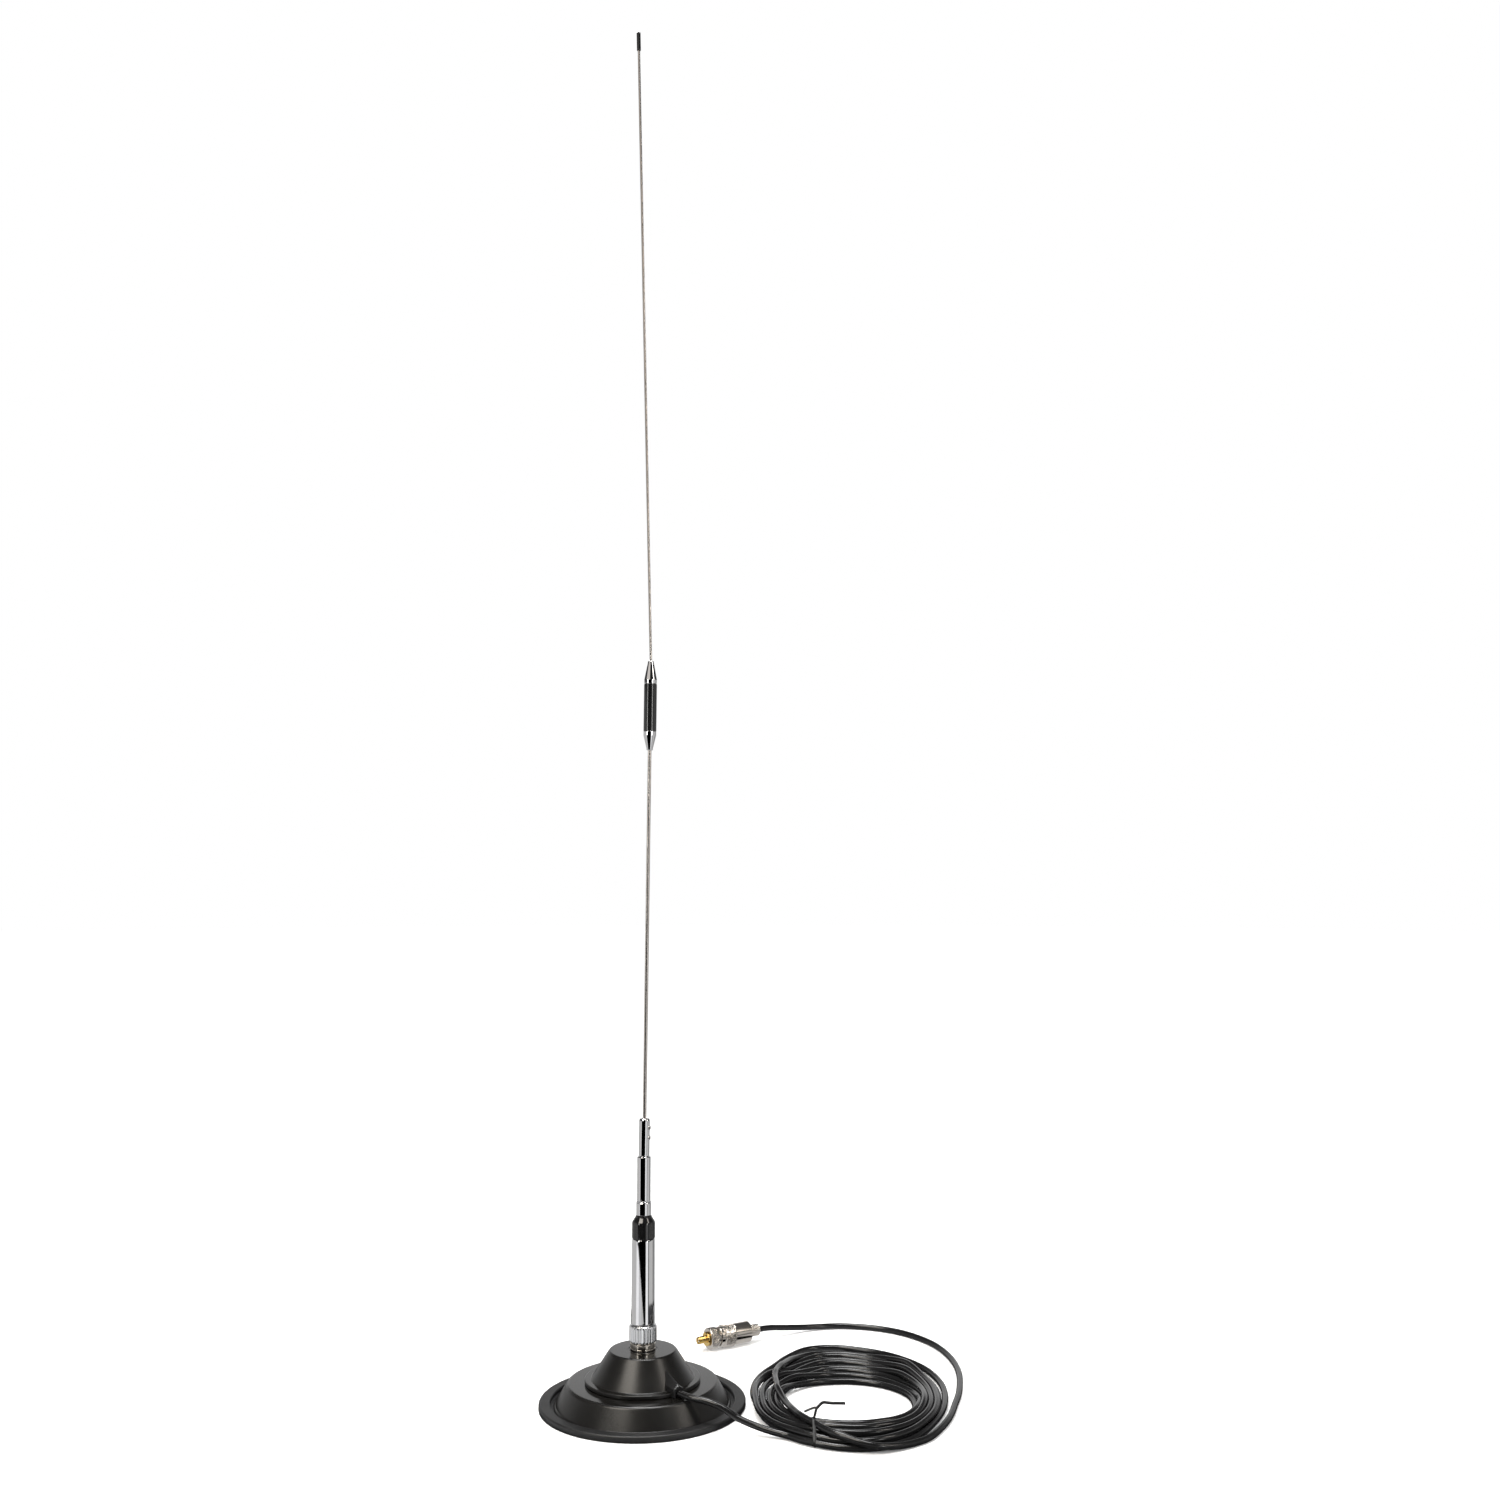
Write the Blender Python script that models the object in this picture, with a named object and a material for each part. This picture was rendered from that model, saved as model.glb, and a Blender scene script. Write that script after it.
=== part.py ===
"""Magnetic-mount whip antenna with a fold-over mast and a coiled coax lead.

Metres, +Z up. The origin is the centre of the base's underside, and the mast stands on +Z.
Outlines of turned pieces are (radius, height) pairs in millimetres.
"""

from math import cos, pi, radians, sin

import bmesh
import bpy
from mathutils import Matrix, Vector

MM = 0.001

# Driving dimensions, in millimetres unless a name says otherwise.
GAP = 0.3  # clearance between pieces that touch
RIM_RADIUS = 79.5
RIM_HEIGHT = 5.0
SKIN = 1.5  # the boot's skin under the base
CONE_FOOT = (67.2, 2.2)
SHOULDER = (58.0, 18.2)  # where the lower cone would meet its flat top without the rounding
FLANGE_RADIUS = 44.5
FLANGE_TOP = 21.3
CROWN = (25.9, 42.0)  # where the upper cone would meet its flat top without the rounding
POST_CIRCLE = 14.0
POST_ANGLES = (8, 128, 248)  # degrees from +X towards +Y
SHOULDER_RADIUS = 9.75
BARREL_RADIUS = 7.9
BARREL_TOP = 55.9
NUT_RADIUS = 10.75
NUT_BOTTOM = 48.0
NUT_TOP = 61.0
NUT_FLUTES = 26
TUBE_BOTTOM = 61.3
TUBE_TOP = 125.6
RING_TOP = 142.9
COLLAR_RADIUS = 5.95
COLLAR_TOP = 154.0
SLEEVE_RADIUS = 5.45
SLEEVE_TOP = 188.0
FOLD_PIVOT = 162.0
HOLDER_RADIUS = 4.35
HOLDER_TOP = 217.1
SCREW_HEIGHTS = {"set_screw_upper": 210.2, "set_screw_lower": 202.5}
SCREW_AZIMUTH = -25.0  # degrees from +X towards +Y
WHIP_RADIUS = 1.5
UPPER_WHIP_RADIUS = 1.0
FERRULE_BOTTOM = 506.3
COIL_TUBE_BOTTOM = 521.6
COIL_TUBE_TOP = 559.6
FERRULE_TOP = 578.2
TIP_BOTTOM = 1093.0
TIP_TOP = 1109.6
LOWER_LEAN = 0.45  # degrees towards +X, from the holder up
UPPER_LEAN = -1.45  # degrees towards +X, above the phasing coil

# The lead. Its direction where it leaves the base is LEAD_AZIMUTH from -Y towards +X.
CABLE_RADIUS = 2.5
LEAD_AZIMUTH = 38.0  # degrees
GLAND_END = 48.4
GLAND_AXIS = 21.5

# The coil of cable: its radii and its top in equal steps round its centre, from +X towards +Y.
COIL_CENTRE = (159.5, -7.0)
COIL_INNER = (47.1, 50.4, 52.7, 50.4, 48.8, 46.5)
COIL_OUTER = (76, 86, 102.5, 121.7, 137.4, 142, 116.6, 96.4, 83.3, 75.8, 77, 80, 85.8, 89.5, 94.4, 84.1, 76, 72.4)
COIL_TOP = (11.8, 10, 10, 7, 12.5, 14.6, 14, 13.6, 14.6, 11.5, 10, 10.8)
TIE_X = 129.0

# The routes that the lead lies along, in metres, outward from the base.
LEAD_ROUTE = [
    (0.0300, -0.0384, 0.0215),
    (0.0355, -0.0440, 0.0213),
    (0.0420, -0.0475, 0.0208),
    (0.0490, -0.0503, 0.0202),
    (0.0560, -0.0530, 0.0190),
    (0.0630, -0.0553, 0.0166),
    (0.0700, -0.0577, 0.0130),
    (0.0770, -0.0600, 0.0090),
    (0.0840, -0.0622, 0.0056),
    (0.0905, -0.0643, 0.0038),
    (0.0995, -0.0673, 0.0034),
]
TAIL_ROUTE = [
    (0.2046, -0.0807, 0.0028),
    (0.2121, -0.0736, 0.0028),
    (0.2226, -0.0557, 0.0028),
    (0.2325, -0.0324, 0.0028),
    (0.2408, -0.0030, 0.0028),
    (0.2462, 0.0180, 0.0028),
    (0.2502, 0.0410, 0.0028),
    (0.2530, 0.0650, 0.0028),
    (0.2530, 0.0910, 0.0028),
    (0.2495, 0.1160, 0.0028),
    (0.2425, 0.1390, 0.0028),
    (0.2310, 0.1590, 0.0028),
    (0.2165, 0.1750, 0.0028),
    (0.1990, 0.1860, 0.0028),
    (0.1810, 0.1920, 0.0028),
    (0.1630, 0.1940, 0.0028),
    (0.1455, 0.1908, 0.0030),
    (0.1300, 0.1845, 0.0042),
    (0.1130, 0.1743, 0.0070),
    (0.1000, 0.1662, 0.0092),
    (0.0900, 0.1600, 0.0097),
]
PLUG_HEIGHT = 9.7  # of the plug's axis above the floor


def material(name, colour, roughness, metallic=0.0):
    made = bpy.data.materials.new(name)
    made.use_nodes = True
    shader = made.node_tree.nodes["Principled BSDF"]
    shader.inputs["Base Color"].default_value = (*colour, 1.0)
    shader.inputs["Roughness"].default_value = roughness
    shader.inputs["Metallic"].default_value = metallic
    return made


def put(name, bm, finish, parent=None, sharp=35.0):
    """Closes off a bmesh as a named object with its material, facing outward."""
    bmesh.ops.recalc_face_normals(bm, faces=bm.faces)
    mesh = bpy.data.meshes.new(name)
    bm.to_mesh(mesh)
    bm.free()
    mesh.shade_smooth()
    mesh.set_sharp_from_angle(angle=radians(sharp))
    made = bpy.data.objects.new(name, mesh)
    made.data.materials.append(finish)
    made.parent = parent
    bpy.context.scene.collection.objects.link(made)
    return made


def anchor(name, place, direction=(0, 0, 1)):
    """An empty whose +Z points along a direction, for pieces that share its axis."""
    made = bpy.data.objects.new(name, None)
    made.location = place
    made.rotation_euler = Vector((0, 0, 1)).rotation_difference(Vector(direction)).to_euler()
    bpy.context.scene.collection.objects.link(made)
    return made


def turned(name, outline, finish, parent=None, steps=32, foot=0.0):
    """A piece turned about Z. foot is the height of its parent's origin, in millimetres."""
    bm = bmesh.new()
    verts = [bm.verts.new((r * MM, 0, (z - foot) * MM)) for r, z in outline]
    edges = [bm.edges.new(pair) for pair in zip(verts, verts[1:])]
    if outline[0][0] > 0 or outline[-1][0] > 0:
        edges.append(bm.edges.new((verts[-1], verts[0])))
    bmesh.ops.spin(
        bm, geom=verts + edges, cent=(0, 0, 0), axis=(0, 0, 1), angle=2 * pi, steps=steps, use_merge=True
    )
    bmesh.ops.remove_doubles(bm, verts=bm.verts, dist=1e-6)
    return put(name, bm, finish, parent)


def tube(name, line, radius, finish, parent=None, resolution=3):
    """A round bar along a list of points in metres, with filled ends."""
    curve = bpy.data.curves.new(name, "CURVE")
    curve.dimensions = "3D"
    curve.bevel_depth = radius * MM
    curve.bevel_resolution = resolution
    curve.render_resolution_u = 0
    curve.use_fill_caps = True
    spline = curve.splines.new("POLY")
    spline.points.add(len(line) - 1)
    for point, place in zip(spline.points, line):
        point.co = (*place, 1.0)
    curve.materials.append(finish)
    made = bpy.data.objects.new(name, curve)
    made.parent = parent
    bpy.context.scene.collection.objects.link(made)
    return made


def smooth_line(route, spacing):
    """Points at about a spacing along the smooth curve through a route's points."""
    points = [Vector(p) for p in route]
    padded = [2 * points[0] - points[1], *points, 2 * points[-1] - points[-2]]
    fine = []
    for a, b, c, d in zip(padded, padded[1:], padded[2:], padded[3:]):
        for step in range(20):
            t = step / 20
            fine.append(
                0.5 * (2 * b + (c - a) * t + (2 * a - 5 * b + 4 * c - d) * t**2 + (3 * b - a - 3 * c + d) * t**3)
            )
    fine.append(points[-1])
    kept, walked = [fine[0]], 0.0
    for before, after in zip(fine, fine[1:]):
        walked += (after - before).length
        if walked >= spacing:
            kept.append(after)
            walked = 0.0
    if (kept[-1] - fine[-1]).length < spacing / 2:
        kept.pop()
    return [*kept, fine[-1]]


def helix(radius, bottom, top, turns, per_turn=10, foot=0.0):
    count = turns * per_turn
    return [
        (
            radius * MM * cos(2 * pi * i / per_turn),
            radius * MM * sin(2 * pi * i / per_turn),
            (bottom - foot + (top - bottom) * i / count) * MM,
        )
        for i in range(count + 1)
    ]


def bar(radius, depth, sides=24):
    """A cylinder along Z about the origin, in millimetres."""
    bm = bmesh.new()
    bmesh.ops.create_cone(
        bm, cap_ends=True, segments=sides, radius1=radius * MM, radius2=radius * MM, depth=depth * MM
    )
    return bm


def block(low, high):
    """A box between two corners, in millimetres."""
    bm = bmesh.new()
    bmesh.ops.create_cube(bm, size=1.0)
    size = Vector(high) - Vector(low)
    middle = (Vector(high) + Vector(low)) / 2
    bmesh.ops.scale(bm, vec=size * MM, verts=bm.verts)
    bmesh.ops.translate(bm, vec=middle * MM, verts=bm.verts)
    return bm


def extruded(outline, low, high):
    """A flat outline of (y, z) points, in millimetres, extruded along X from low to high."""
    bm = bmesh.new()
    face = bm.faces.new([bm.verts.new((low * MM, y * MM, z * MM)) for y, z in outline])
    moved = bmesh.ops.extrude_face_region(bm, geom=[face])["geom"]
    verts = [v for v in moved if isinstance(v, bmesh.types.BMVert)]
    bmesh.ops.translate(bm, vec=((high - low) * MM, 0, 0), verts=verts)
    return bm


def arc(centre, radius, start, end, steps):
    """Points of an arc as (y, z), with the angles in degrees from +Y towards +Z."""
    angles = [radians(start + (end - start) * i / steps) for i in range(steps + 1)]
    return [(centre[0] + radius * cos(a), centre[1] + radius * sin(a)) for a in angles]


def combine(piece, bm, operation, turn=None, place=(0, 0, 0)):
    """Cuts a piece with, or joins it to, a shape placed in the piece's own axes."""
    if turn is not None:
        bmesh.ops.transform(bm, matrix=turn, verts=bm.verts)
    bmesh.ops.translate(bm, vec=Vector(place) * MM, verts=bm.verts)
    tool = put(piece.name + "_" + operation.lower(), bm, piece.data.materials[0], piece.parent)
    tool.hide_render = True
    tool.display_type = "WIRE"
    modifier = piece.modifiers.new(operation.title(), "BOOLEAN")
    modifier.operation = operation
    modifier.object = tool
    return piece


ALONG_X = Matrix.Rotation(pi / 2, 4, "Y")


def hex_nut(name, across_flats, hole, bottom, top, finish, parent=None):
    """A hexagonal nut about Z, with a round hole."""
    bm = bar(across_flats / 2 / cos(pi / 6), top - bottom, sides=6)
    bmesh.ops.translate(bm, vec=(0, 0, (bottom + top) / 2 * MM), verts=bm.verts)
    nut = put(name, bm, finish, parent)
    return combine(nut, bar(hole, 2 * (top - bottom)), "DIFFERENCE", place=(0, 0, (bottom + top) / 2))


def bars(radius, low, high, places, sides=16):
    """Upright cylinders at several places, in millimetres."""
    bm = bmesh.new()
    for x, y in places:
        middle = Matrix.Translation(Vector((x, y, (low + high) / 2)) * MM)
        bmesh.ops.create_cone(
            bm,
            cap_ends=True,
            segments=sides,
            radius1=radius * MM,
            radius2=radius * MM,
            depth=(high - low) * MM,
            matrix=middle,
        )
    return bm


def fillet(before, corner, after, radius, steps=4):
    """Points that round the corner of an outline with a radius."""
    b, c, a = Vector(before), Vector(corner), Vector(after)
    first, second = (b - c).normalized(), (a - c).normalized()
    half = first.angle(second) / 2
    centre = c + (first + second).normalized() * radius / sin(half)
    start = c + first * radius * cos(half) / sin(half)
    end = c + second * radius * cos(half) / sin(half)
    points = []
    for i in range(steps + 1):
        along = start.lerp(end, i / steps) - centre
        points.append(tuple(centre + along.normalized() * radius))
    return points


def around(table, degrees):
    """A value read smoothly from a table that goes once round in equal steps."""
    place = degrees / 360 * len(table)
    k = int(place)
    t = place - k
    a, b, c, d = (table[(k + i) % len(table)] for i in (-1, 0, 1, 2))
    return 0.5 * (2 * b + (c - a) * t + (2 * a - 5 * b + 4 * c - d) * t**2 + (3 * b - a - 3 * c + d) * t**3)


def coil_ring(name, finish, steps=54, chamfer=2.0):
    """The outer shape of the coiled cable: a low uneven ring round its hole."""
    low = 2 * GAP + 0.4
    bm = bmesh.new()
    rings = []
    for i in range(steps):
        degrees = 360 * i / steps
        inner, outer, high = (around(table, degrees) for table in (COIL_INNER, COIL_OUTER, COIL_TOP))
        section = [
            (outer, low + chamfer),
            (outer, high - chamfer),
            (outer - chamfer, high),
            (inner + chamfer, high),
            (inner, high - chamfer),
            (inner, low + chamfer),
            (inner + chamfer, low),
            (outer - chamfer, low),
        ]
        across = (cos(radians(degrees)), sin(radians(degrees)))
        ring = []
        for r, z in section:
            x, y = COIL_CENTRE[0] + r * across[0], COIL_CENTRE[1] + r * across[1]
            ring.append(bm.verts.new((x * MM, y * MM, z * MM)))
        rings.append(ring)
    count = len(rings[0])
    for ring, following in zip(rings, rings[1:] + rings[:1]):
        for k in range(count):
            bm.faces.new((ring[k], ring[(k + 1) % count], following[(k + 1) % count], following[k]))
    return put(name, bm, finish)


def remove_old_objects():
    for old in list(bpy.data.objects):
        bpy.data.objects.remove(old, do_unlink=True)


def make_materials():
    return {
        "rubber": material("black_rubber", (0.018, 0.019, 0.020), 0.62),
        "housing": material("satin_black_housing", (0.012, 0.012, 0.012), 0.38),
        "magnet": material("ferrite", (0.05, 0.05, 0.05), 0.7),
        "steel": material("steel", (0.55, 0.55, 0.55), 0.35, 1.0),
        "chrome": material("chrome", (0.78, 0.78, 0.79), 0.08, 1.0),
        "nickel": material("nickel", (0.66, 0.61, 0.54), 0.2, 1.0),
        "gold": material("gold_plate", (0.83, 0.62, 0.25), 0.2, 1.0),
        "copper": material("copper_wire", (0.72, 0.38, 0.2), 0.3, 1.0),
        "plastic": material("black_plastic", (0.015, 0.015, 0.016), 0.3),
        "white": material("white_insulator", (0.8, 0.8, 0.78), 0.5),
        "cable": material("cable_jacket", (0.012, 0.012, 0.012), 0.3),
        "tie": material("twist_tie", (0.015, 0.015, 0.015), 0.5),
    }


def make_base(m, exit_axes):
    """The rubber boot, the magnet with its plate, and the two housings with their screws."""
    turned(
        "base_boot",
        [
            (0, 0),
            (RIM_RADIUS - 0.8, 0),
            (RIM_RADIUS, 0.8),
            (RIM_RADIUS, RIM_HEIGHT - 1.0),
            (RIM_RADIUS - 0.3, RIM_HEIGHT - 0.3),
            (RIM_RADIUS - 1.0, RIM_HEIGHT),
            (71.4, RIM_HEIGHT),
            (70.8, RIM_HEIGHT - 0.6),
            (70.8, SKIN),
            (0, SKIN),
        ],
        m["rubber"],
        steps=48,
    )
    turned(
        "magnet_ring",
        [(22, 1.8), (58.1, 1.8), (58.5, 2.2), (58.5, 10.4), (58.1, 10.8), (22, 10.8)],
        m["magnet"],
        steps=40,
    )
    plate = turned("pole_plate", [(8, 11.1), (56.6, 11.1), (56.6, 13.1), (8, 13.1)], m["steel"], steps=40)
    foot, shoulder = CONE_FOOT, SHOULDER
    rise = (shoulder[0] - foot[0]) / (shoulder[1] - foot[1])
    inner_foot = (foot[0] - 1.9, 1.8)
    inner_shoulder = (shoulder[0] - 2.6, 16.6)
    turned(
        "lower_housing",
        [
            (foot[0], 1.8),
            (foot[0], foot[1] + 0.3),
            *fillet((foot[0] + 0.3 * rise, foot[1] + 0.3), shoulder, (0, shoulder[1]), 4.2, 3),
            (30, shoulder[1]),
            (30, 16.6),
            *fillet((30, 16.6), inner_shoulder, inner_foot, 2.4, 2),
            inner_foot,
        ],
        m["housing"],
        steps=48,
    )
    bottom = SHOULDER[1] + GAP
    upper = turned(
        "upper_housing",
        [
            (FLANGE_RADIUS, bottom),
            *fillet((FLANGE_RADIUS, bottom), (FLANGE_RADIUS, FLANGE_TOP), (38, FLANGE_TOP), 0.6, 1),
            *fillet((44, FLANGE_TOP), (39.45, FLANGE_TOP), CROWN, 1.0, 2),
            *fillet((39.45, FLANGE_TOP), CROWN, (0, CROWN[1]), 3.6, 3),
            (6.4, CROWN[1]),
            (6.4, 40.2),
            *fillet((0, 40.2), (24.9, 40.2), (36.95, 21.8), 2.4, 1),
            (36.95, 21.8),
            (36.95, bottom),
        ],
        m["housing"],
        steps=48,
    )
    places = [(POST_CIRCLE * cos(radians(a)), POST_CIRCLE * sin(radians(a))) for a in POST_ANGLES]
    combine(plate, bars(1.7, 10, 14, places), "DIFFERENCE")
    combine(upper, bars(3.2, 13.4, 41, places), "UNION")
    holes = put("upper_housing_holes", bars(1.7, 10, 24, places, 12), m["housing"])
    notch = put("upper_housing_notch", cable_channel(3.0, 30, 46), m["housing"], exit_axes)
    for cutter in (holes, notch):
        cutter.hide_render = True
        cutter.display_type = "WIRE"
        cut = upper.modifiers.new(cutter.name, "BOOLEAN")
        cut.operation = "DIFFERENCE"
        cut.object = cutter
    for number, place in enumerate(places, 1):
        screw = turned(
            f"housing_screw_{number}",
            [(0, 8.3), (2.4, 8.3), (2.9, 8.8), (2.9, 10.8), (1.35, 10.8), (1.35, 22), (0, 22)],
            m["steel"],
            steps=16,
        )
        screw.location = (place[0] * MM, place[1] * MM, 0)
        combine(screw, bar(1.4, 3.0, sides=6), "DIFFERENCE", place=(place[0], place[1], 8.3))


def cable_channel(radius, low, high):
    """A channel along the exit axes' X, open below: a round top over straight sides."""
    crown = arc((0, GLAND_AXIS), radius, 180, 0, 10)
    return extruded([(radius, 16.9), (-radius, 16.9), *crown], low, high)


def make_socket(m):
    turned("socket_washer", [(6.4, 42.3), (9.4, 42.3), (9.7, 42.6), (9.7, 43.6), (6.4, 43.6)], m["nickel"], steps=32)
    turned(
        "socket_body",
        [
            (4.0, 29),
            (6.0, 29),
            (6.0, 43.9),
            (SHOULDER_RADIUS, 43.9),
            (SHOULDER_RADIUS, 47.0),
            (9.35, 47.4),
            (BARREL_RADIUS, 47.4),
            (BARREL_RADIUS, BARREL_TOP - 0.5),
            (BARREL_RADIUS - 0.5, BARREL_TOP),
            (6.2, BARREL_TOP),
            (6.2, 45.3),
            (4.0, 45.3),
        ],
        m["nickel"],
        steps=32,
    )
    turned(
        "socket_insulator",
        [(2.7, 29.3), (3.7, 29.3), (3.7, 45.6), (5.9, 45.6), (5.9, 51.7), (2.7, 51.7)],
        m["white"],
        steps=24,
    )
    turned(
        "socket_contact",
        [(0, 26.6), (1.2, 26.6), (1.2, 30), (2.4, 30), (2.4, 51.4), (1.75, 51.4), (1.75, 40), (0, 40)],
        m["gold"],
        steps=20,
    )
    hex_nut("socket_nut", 16, 6.3, 35.0, 39.9, m["steel"])
    lug = turned("ground_lug", [(6.3, 34), (9.0, 34), (9.0, 34.7), (6.3, 34.7)], m["gold"], steps=24)
    tail = block((7.6, -2.0, 34), (17.0, 2.0, 34.7))
    combine(lug, tail, "UNION", Matrix.Rotation(radians(68), 4, "Z"))


def make_cable_exit(m, exit_axes):
    """The strain relief on the upper housing, the lead's stretch inside the base and its clamp."""
    bottom = SHOULDER[1] + GAP
    stations = [(27.0, 4.4, 26.2, 35.7), (GLAND_END - 0.8, 4.4, 24.6, 26.8), (GLAND_END, 3.9, 24.2, 26.1)]
    bm = bmesh.new()
    sections = []
    for x, half, eaves, ridge in stations:
        corners = [(-half, bottom), (half, bottom), (half, eaves), (1.2, ridge), (-1.2, ridge), (-half, eaves)]
        sections.append([bm.verts.new((x * MM, y * MM, z * MM)) for y, z in corners])
    for section, following in zip(sections, sections[1:]):
        for k in range(6):
            bm.faces.new((section[k], section[(k + 1) % 6], following[(k + 1) % 6], following[k]))
    bm.faces.new(sections[0])
    bm.faces.new(sections[-1])
    gland = put("cable_gland", bm, m["rubber"], exit_axes)
    outline = [
        (0, 10),
        (FLANGE_RADIUS + GAP, 10),
        (FLANGE_RADIUS + GAP, FLANGE_TOP - 0.4),
        (FLANGE_RADIUS - 0.3, FLANGE_TOP + GAP),
        (40.6, FLANGE_TOP + GAP),
        (39.6, FLANGE_TOP + 0.7),
        (CROWN[0] + 0.45, CROWN[1]),
        (20, 50),
        (0, 50),
    ]
    room = turned("cable_gland_room", outline, m["rubber"], steps=48)
    bore = put("cable_gland_bore", cable_channel(CABLE_RADIUS + GAP, 20, 60), m["rubber"], exit_axes)
    for cutter in (room, bore):
        cutter.hide_render = True
        cutter.display_type = "WIRE"
        cut = gland.modifiers.new(cutter.name, "BOOLEAN")
        cut.operation = "DIFFERENCE"
        cut.object = cutter
    outward = Vector((sin(radians(LEAD_AZIMUTH)), -cos(radians(LEAD_AZIMUTH)), 0))
    height = GLAND_AXIS
    inner = [(GLAND_END, height), (40, height), (33, height), (24, height), (15, 22.4), (9, 23.1), (4.5, 23.3)]
    route = [tuple(outward * r * MM + Vector((0, 0, z * MM))) for r, z in inner]
    tube("inner_lead", smooth_line(route, 0.006), CABLE_RADIUS, m["cable"], resolution=2)
    inside = CABLE_RADIUS + 0.5
    outer = inside + 0.8
    outline = [
        (-8.2, bottom),
        (-inside, bottom),
        *reversed(arc((0, GLAND_AXIS), inside, 0, 180, 8)),
        (inside, bottom),
        (8.2, bottom),
        (8.2, bottom + 0.8),
        (outer, bottom + 0.8),
        *arc((0, GLAND_AXIS), outer, 0, 180, 8),
        (-outer, bottom + 0.8),
        (-8.2, bottom + 0.8),
    ]
    put("cable_clamp", extruded(outline, 30.6, 33.8), m["steel"], exit_axes)


def make_mast(m):
    """The pieces that lift off the socket: plug, chrome tube with the matching coil, ring and hinge post."""
    turned(
        "mast_plug_body",
        [(4.6, 52.3), (5.6, 52.3), (5.6, 56.2), (7.9, 56.2), (7.9, 57.8), (6.5, 57.8), (6.5, 68), (4.6, 68)],
        m["nickel"],
        steps=32,
    )
    turned("mast_plug_insulator", [(1.7, 52.6), (4.3, 52.6), (4.3, 67.5), (1.7, 67.5)], m["white"], steps=20)
    turned("mast_plug_pin", [(0, 42.5), (0.8, 42.5), (1.4, 43.4), (1.4, 70), (0, 70)], m["gold"], steps=16)
    turned(
        "base_tube",
        [
            (9.1, TUBE_BOTTOM),
            (9.4, TUBE_BOTTOM + 0.4),
            (9.1, TUBE_TOP - 0.4),
            (8.8, TUBE_TOP),
            (7.7, TUBE_TOP),
            (8.2, 64.0),
            (6.8, 64.0),
            (6.8, TUBE_BOTTOM),
        ],
        m["chrome"],
        steps=40,
    )
    turned("matching_former", [(2, 68.4), (5.2, 68.4), (5.2, 121.5), (2, 121.5)], m["white"], steps=20)
    tube("matching_coil", helix(6.0, 76, 113, 8), 0.45, m["copper"], resolution=0)
    ring_bottom = TUBE_TOP + GAP
    turned(
        "insulator_ring",
        [
            (3.3, 122.2),
            (7.3, 122.2),
            (7.3, ring_bottom),
            (8.9, ring_bottom),
            (9.1, ring_bottom + 0.3),
            (9.1, 137.4),
            (8.7, 138.6),
            (7.4, 140.6),
            (6.6, 141.6),
            (6.2, RING_TOP),
            (3.3, RING_TOP),
        ],
        m["plastic"],
        steps=32,
    )
    post = turned(
        "hinge_post",
        [
            (0, 122.4),
            (3.0, 122.4),
            (3.0, RING_TOP + GAP),
            (COLLAR_RADIUS - 0.3, RING_TOP + GAP),
            (COLLAR_RADIUS, RING_TOP + 0.6),
            (COLLAR_RADIUS, COLLAR_TOP - 0.4),
            (COLLAR_RADIUS - 0.4, COLLAR_TOP),
            (0, COLLAR_TOP),
        ],
        m["chrome"],
        steps=32,
    )
    outline = [(-3.0, COLLAR_TOP - 3), (3.0, COLLAR_TOP - 3), *arc((0, FOLD_PIVOT), 3.0, 0, 180, 12)]
    combine(post, extruded(outline, -2.0, 2.0), "UNION")
    combine(post, bar(1.5, 12, sides=16), "DIFFERENCE", ALONG_X, (0, 0, FOLD_PIVOT))


def make_coupling_nut(m):
    """The fluted nut that turns on the mast's plug; its flutes run along Z."""
    columns = 2 * NUT_FLUTES
    nut = turned(
        "coupling_nut",
        [
            (8.3, NUT_BOTTOM),
            (10.0, NUT_BOTTOM),
            (NUT_RADIUS, NUT_BOTTOM + 0.8),
            (NUT_RADIUS, NUT_TOP - 0.8),
            (10.0, NUT_TOP),
            (7.0, NUT_TOP),
            (7.0, 58.1),
            (8.3, 58.1),
        ],
        m["chrome"],
        steps=columns,
    )
    for vertex in nut.data.vertices:
        place = vertex.co
        if place.xy.length > (NUT_RADIUS - 0.01) * MM:
            column = round(place.xy.angle_signed(Vector((1, 0))) / (2 * pi) * columns)
            if column % 2:
                place.xy = place.xy * (1 - 0.45 / NUT_RADIUS)


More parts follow.
